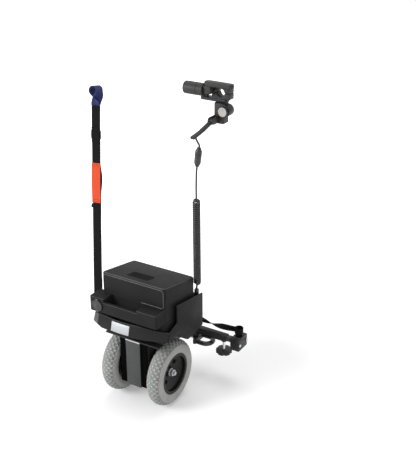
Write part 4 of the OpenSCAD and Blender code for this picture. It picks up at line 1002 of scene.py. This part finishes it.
def makeTyre(node, plane):
    s = tyreSettings
    half, rows = s["treadHalf"], s["treadRows"]
    tread = [(-half + 2 * half * k / rows, s["carcass"]) for k in range(rows + 1)]
    wall = [(s["wallFrom"] + (s["wallTo"] - s["wallFrom"]) * k / s["wallRows"], s["section"])
            for k in range(s["wallRows"] + 1)]
    section = [(-a, r) for a, r in reversed(wall)] + tread + wall
    profile = [(s["midRadius"] + r * cos(radians(a)), r * sin(radians(a))) for a, r in section]
    profile = [(r, -h) for r, h in reversed(s["bead"])] + profile + s["bead"]
    foot = spot(plane, 0, s["axle"])
    tyre = lathed(node + "Rubber", profile + profile[:1], foot, rightWay, s["steps"])
    out = rightWay.orthogonal().normalized()
    side = rightWay.cross(out)

    def onSection(c):
        # distance from the middle of the section, and angle from the tread's middle
        rise = offAxis(c, foot, rightWay) - mm(s["midRadius"])
        return hypot(c.x - foot.x, rise), degrees(atan2(c.x - foot.x, rise))

    def isBlock(c, n):
        away = c - foot
        tilt = onSection(c)[1]
        if abs(tilt) > half or n.dot(away) < 0:
            return False
        around = atan2(away.dot(side), away.dot(out)) / (2 * pi) % 1
        return (int((tilt + half) / (2 * half) * rows) + int(around * s["steps"])) % 2 == 0

    def isFloor(c, n):
        deep, tilt = onSection(c)
        return deep < mm(s["carcass"] + s["grooveShadeDepth"]) and abs(tilt) < half + 1

    def raiseBlocks():
        pick("FACE", isBlock)
        bpy.ops.mesh.inset(thickness=mm(s["blockRim"]), depth=mm(s["blockRise"]), use_individual=True)

    edit(tyre, raiseBlocks)
    settle(tyre, "wheel_set", node, smooth=30)
    # groove floors between the blocks take a darker grey, painted shade in the grooves
    secondTone(tyre, treadGrooveShade, isFloor)


for nodeName, plane in tyreSettings["planes"].items():
    makeTyre(nodeName, plane)
print("tyres made with", tyreSettings["treadRows"], "rows of blocks")


# rims, turned, with a boss for each bolt

rimSettings = {
    "planes": {"left_rim": -81, "right_rim": 81}, "axle": 102.5, "steps": 72, "soft": 0.8,
    "profile": [(8.5, -20), (16, -20), (16, -6.8), (55, 4.6), (55, -20), (64, -20), (64, -17), (58, -17),
                (58, 17), (64, 17), (64, 20), (55, 20), (55, 8.6), (16, -2.8), (16, 3), (8.5, 3)],
    "bosses": 4, "bossRing": 33, "boss": [(3.1, -8), (7, -8), (7, 3.4), (6.4, 4), (3.1, 4)],
}


def makeRim(node, plane):
    s = rimSettings
    out = copysign(1, plane) * rightWay
    foot = spot(plane, 0, s["axle"])
    rim = lathed(node + "Finished", s["profile"] + s["profile"][:1], foot, out, s["steps"])
    softenEdges(rim, s["soft"])
    bosses = []
    for k in range(s["bosses"]):
        turn = 2 * pi * (k + 0.5) / s["bosses"]
        place = foot + mm(s["bossRing"]) * Vector((0, cos(turn), sin(turn)))
        bosses.append(lathed("rimBoss", s["boss"] + s["boss"][:1], place, out, 32))
    settle(fused(rim, *bosses), "wheel_set", node)


for nodeName, plane in rimSettings["planes"].items():
    makeRim(nodeName, plane)
print("rims made with", rimSettings["bosses"], "bosses each")


# hand control

barrelSettings = {
    "end": (122, 40, 966), "radius": 16.8, "length": 58, "groove": 37,
    "struts": [((158, 53, 943.9), (180, 65, 966)), ((158, 40, 954), (180, 65, 966)),
               ((179, 31, 958.3), (202, 49, 978.3))],
}
housingSettings = {"box": ((204, 44, 880.9), (234, 74, 934.9)), "corner": 6, "bossRadius": 16, "bossDepth": 26,
                   "bossSink": 0.05, "ears": (204, 215.8), "earThick": 4, "earRadius": 9, "earRoot": 50}
paddleSettings = {"hub": (193, 40, 978.6), "hubRadius": 12, "length": 62, "tipRadius": 10, "thick": 12, "soft": 3}
leverSettings = {"hub": (208.3, 22, 893), "hubWidth": 7.2, "hubRadius": 7, "reach": (-90, -19), "width": 13,
                 "thick": 7, "bow": 2.6, "flare": 4, "flareFrom": 0.75, "soft": 2.4}
dialSettings = {"foot": (235, 43.7, 916), "radius": 14, "thick": 9, "steps": 60, "rib": 0.8, "ribInset": 0.2}


def makeBarrel():
    s = barrelSettings
    r, run, groove = s["radius"], s["length"], s["groove"]
    profile = [(0, 0), (r - 3.2, 0), (r - 1.4, 0.5), (r - 0.4, 1.5), (r, 3.4), (r, groove), (r - 0.9, groove + 1),
               (r - 0.9, groove + 3), (r, groove + 4), (r, run - 0.8), (r - 0.8, run), (0, run)]
    barrel = lathed("controlBarrel", profile, spot(*s["end"]), rightWay, 56)
    struts = [block("barrelStrut", low, high, soft=(2, 3, 60)) for low, high in s["struts"]]
    settle(fused(barrel, *struts), "frame_bar", "control_barrel")


def makeHousing():
    s = housingSettings
    housing = block("throttleHousing", *s["box"], [(s["corner"], 5, upright)], (1.6, 3, 60))
    x, _, z = dialSettings["foot"]
    r, deep = s["bossRadius"], s["bossDepth"]
    profile = [(0, 0), (r - 1.2, 0), (r - 0.3, 0.4), (r, 1.2), (r, deep - 1.2), (r - 0.4, deep - 0.3),
               (r - 1.2, deep), (0, deep)]
    parts = [lathed("dialBoss", profile, spot(x, s["box"][0][1] + s["bossSink"], z), backWay)]
    _, y, z = leverSettings["hub"]
    r, root = s["earRadius"], s["earRoot"]
    for left in s["ears"]:
        nose = [spot(left, y + r * a, z + r * b) for a, b in arc(270, -180, 16)]
        parts.append(prism("leverEar", [spot(left, root, z - r)] + nose + [spot(left, root, z + r)],
                           mm(s["earThick"]) * rightWay, soft=(0.7, 2, 60)))
    settle(fused(housing, *parts), "frame_bar", "throttle_housing")


def makePaddle():
    s = paddleSettings
    x, y, z = s["hub"]
    outline = []
    for middle, r, start in ((x, s["hubRadius"], 90), (x + s["length"], s["tipRadius"], 270)):
        outline += [spot(middle + r * a, y + r * b, z) for a, b in arc(start, 180, 14)]
    paddle = prism("directionPaddle", outline, mm(s["thick"]) * upWay, soft=(s["soft"], 4, 50))
    settle(paddle, "paddle", "direction_paddle")


def makeLever():
    s = leverSettings
    x, y, z = s["hub"]
    reach = Vector((0, *s["reach"]))
    across = Vector((0, -reach.z, reach.y)).normalized()

    def bar(name, start, end, thickAt, left, width):
        # a bowed strip over a share of the reach
        upper, lower = [], []
        for k in range(15):
            t = start + (end - start) * k / 14
            centre = reach * t + across * s["bow"] * sin(pi * t)
            upper.append(centre + across * thickAt(t) / 2)
            lower.append(centre - across * thickAt(t) / 2)
        return prism(name, [spot(left, y + p.y, z + p.z) for p in upper + lower[::-1]], mm(width) * rightWay)

    w, wide, thick = s["hubWidth"], s["width"], s["thick"]
    blade = bar("driveLever", 0.15, 1.05, lambda t: thick + s["flare"] * max(0, t - s["flareFrom"]),
                x + (w - wide) / 2, wide)
    softenEdges(blade, s["soft"], 4, 50)
    neck = bar("leverNeck", 0.02, 0.2, lambda t: thick, x + 0.2, w - 0.4)
    hub = lathed("leverHub", rod(s["hubRadius"], 0, w, 0.5), spot(x, y, z), rightWay, 36)
    settle(fused(blade, neck, hub), "lever", "drive_lever")


def makeDial():
    s = dialSettings
    r, t, steps = s["radius"], s["thick"], s["steps"]
    x, y, z = s["foot"]
    foot = spot(x, y, z)
    profile = [(0, 0), (r - 1.6, 0), (r - 0.9, 0.6), (r - 0.9, t - 1.8), (r - 1.8, t - 0.5), (r - 3, t),
               (r - 3.6, t - 0.3), (0, t - 0.3)]
    dial = lathed("speedDial", profile, foot, -backWay, steps)

    def isRib(p, n):
        around = atan2(p.z - foot.z, p.x - foot.x) / (2 * pi) % 1
        return abs(n.y) < 0.05 and offAxis(p, foot, backWay) > mm(r - 2) and int(around * steps) % 3 == 0

    def raiseRibs():
        pick("FACE", isRib)
        bpy.ops.mesh.inset(thickness=mm(s["ribInset"]), depth=mm(s["rib"]), use_individual=True)

    edit(dial, raiseRibs)
    pointer = block("dialMark", (x - 0.9, y - t - 0.3, z + 2), (x + 0.9, y - t + 1, z + r - 4), soft=(0.3, 2, 60))
    settle(fused(dial, pointer), "dial", "speed_dial", smooth=30)
    secondTone(dial, finishes["control_plastic"], lambda p, n: offAxis(p, foot, backWay) > mm(r - 1.6))


for make in (makeBarrel, makeHousing, makePaddle, makeLever, makeDial):
    make()
print("hand control made")


# spring on the hitch pin

springSettings = {"from": 20.1, "to": 54.9, "y": 187, "z": 118, "radius": 8, "wire": 0.8, "turns": 5,
                  "stepsPerTurn": 32}


def makeSpring():
    s = springSettings
    y, z, r, steps = s["y"], s["z"], s["radius"], s["turns"] * s["stepsPerTurn"]
    line = [spot(s["from"] + (s["to"] - s["from"]) * k / steps, y + r * c, z + r * d)
            for k, (c, d) in enumerate(arc(0, 360 * s["turns"], steps))]
    spring = settle(tubeAlong("hitchSpring", line, mm(s["wire"]), 3), None, "pin_spring")
    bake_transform(spring)


makeSpring()
print("hitch spring wound")


# pull loop

loopSettings = {"head": ((63, 157.5, 109), (73, 216.5, 127)), "headSoft": 3, "rootDepth": 4, "y": 187, "z": 118,
                "bend": 95, "bendRadius": 22, "tube": 7.5}


def makePullLoop():
    s = loopSettings
    y, z, bend, r = s["y"], s["z"], s["bend"], s["bendRadius"]
    head = block("pullLoopGrip", *s["head"], soft=(s["headSoft"], 4, 60))
    start = s["head"][0][0] + s["rootDepth"]
    line = [spot(start + (bend - start) * k / 4, y - r, z) for k in range(4)]
    line += [spot(bend + r * c, y + r * d, z) for c, d in arc(-90, 180, 24)]
    line += [spot(bend + (start - bend) * k / 4, y + r, z) for k in range(1, 5)]
    grip = tubeAlong("pullLoopTube", line, mm(s["tube"]), 6)
    settle(fused(head, grip), "pull_pin", "pull_loop")


makePullLoop()
print("pull loop made")


# battery tray, its lip drawn out at the left and let down at the right

traySettings = {
    "left": (-84, -118), "side": -53, "reach": 14, "rise": 12, "dip": 4,
    "right": (20, 112), "sag": 12, "sagBehind": -20, "wallHeight": 25,
    "middle": 265, "cutSlack": 0.01, "soft": 1.0, "sheenFrom": -112,
}


def makeTray():
    s = traySettings
    leftStart, leftEnd = (spot(x, s["side"], s["middle"]) for x in s["left"])
    rightStart, rightEnd = (spot(x, s["sagBehind"], s["middle"]) for x in s["right"])
    tray = copyNode("battery_tray", "battery_trayFinished")
    edit(tray, lambda: bpy.ops.mesh.bisect(plane_co=leftStart, plane_no=(1, 0, 0)),
         lambda: bpy.ops.mesh.bisect(plane_co=leftStart, plane_no=(0, 1, 0)))
    for vertex in tray.data.vertices:
        c = vertex.co
        high = c.z > leftStart.z
        if high and c.z < leftStart.z + mm(s["wallHeight"]) and c.y < rightStart.y:
            c.z -= mm(s["sag"]) * eased(c.x, rightStart.x, rightEnd.x)
        if c.y < leftStart.y - mm(s["cutSlack"]):
            drawn = eased(c.x, leftStart.x, leftEnd.x)
            c.x -= mm(s["reach"]) * drawn
            c.z += mm(-s["dip"] if high else s["rise"] * drawn) * drawn
    softenEdges(tray, s["soft"])
    settle(tray, "drive_unit", "battery_tray")
    # upward-facing roundings of the tray's edges take the lighter edge finish: worn edges with a painted highlight
    secondTone(tray, rubbedEdgeHighlight, lambda c, n: 0.4 < n.z < 0.96)
    # the lip's drawn-out left end takes the lighter edge finish as a painted sheen
    sheen = spot(s["sheenFrom"], s["side"], 0)
    secondTone(tray, paintedEdgeSheen, lambda c, n: c.x < sheen.x and c.y < sheen.y and n.y < -0.1)
    print("tray made, its lip drawn out by", s["reach"], "mm")


makeTray()


# carried-over solids with softened edges

softWidths = {
    "bar_tube": 1.6, "left_clamp_body": 1.2, "left_clamp_cap": 1.2, "right_clamp_body": 1.2,
    "right_clamp_cap": 1.2, "inner_tube": 1.2, "lock_knob": 2.2, "chassis": 0.8, "drawbar": 0.9, "gear_case": 1.0,
    "gear_cover": 1.0, "motor_can": 1.0, "motor_cap": 1.0, "controller": 1.6, "cord_socket": 1.0,
    "strap_anchor": 0.7, "handle_clamp_body": 1.0, "handle_clamp_cap": 1.0, "control_bracket": 1.6,
    "rear_guard": 0.9, "name_plate": 0.2, "wheel_nuts": 0.5, "clamp_screws": 0.4, "right_clamp_screws": 0.4,
}
toneSettings = {
    "axle": (0, 0, 102.5), "nutReach": 20,  # rim bolts lie further out
    "web": ((24, -65, 64), (51, -60, 224)),  # rear webs of the chassis, right and left alike, painted near-black as shade
    "stem": (160, 187, 108.5), "stemRadius": 4.6,  # of the lock knob
}
dressed = {nodeName: softened(nodeName, width) for nodeName, width in softWidths.items()}
softened("hitch_bracket", 0.4, 2, 60)
axleSpot, stemSpot = spot(*toneSettings["axle"]), spot(*toneSettings["stem"])
webLow, webHigh = (spot(*corner) - axleSpot for corner in toneSettings["web"])


def isShadedWeb(c, n):
    x, y, z = c - axleSpot
    return (n.y < -0.5 and webLow.x < abs(x) < webHigh.x and webLow.y < y < webHigh.y
            and webLow.z < z < webHigh.z)


def isStem(c, n):
    return c.z > stemSpot.z and offAxis(c, stemSpot, upWay) < mm(toneSettings["stemRadius"])


secondTone(dressed["wheel_nuts"], finishes["rim_black"],
           lambda c, n: offAxis(c, axleSpot, rightWay) > mm(toneSettings["nutReach"]))
secondTone(dressed["rear_guard"], finishes["black_steel"], lambda c, n: abs(n.x) > 0.9)
# the rear webs beside the guard are painted near-black as shade
secondTone(dressed["chassis"], paintedWebShade, isShadedWeb)
secondTone(dressed["lock_knob"], finishes["bright_steel"], isStem)
print("softened copies:", len(softWidths))

# a bright strip along the guard's top edge, a painted highlight
edgeSettings = {"low": (-25, -70.9, 217.4), "high": (25, -69, 222), "soft": 0.3}
guardHighlightStrip = block("paintedGuardHighlight", edgeSettings["low"], edgeSettings["high"], soft=(edgeSettings["soft"], 2, 60))
settle(guardHighlightStrip, "drive_unit", None, "grey_steel", finish=guardEdgeHighlight)
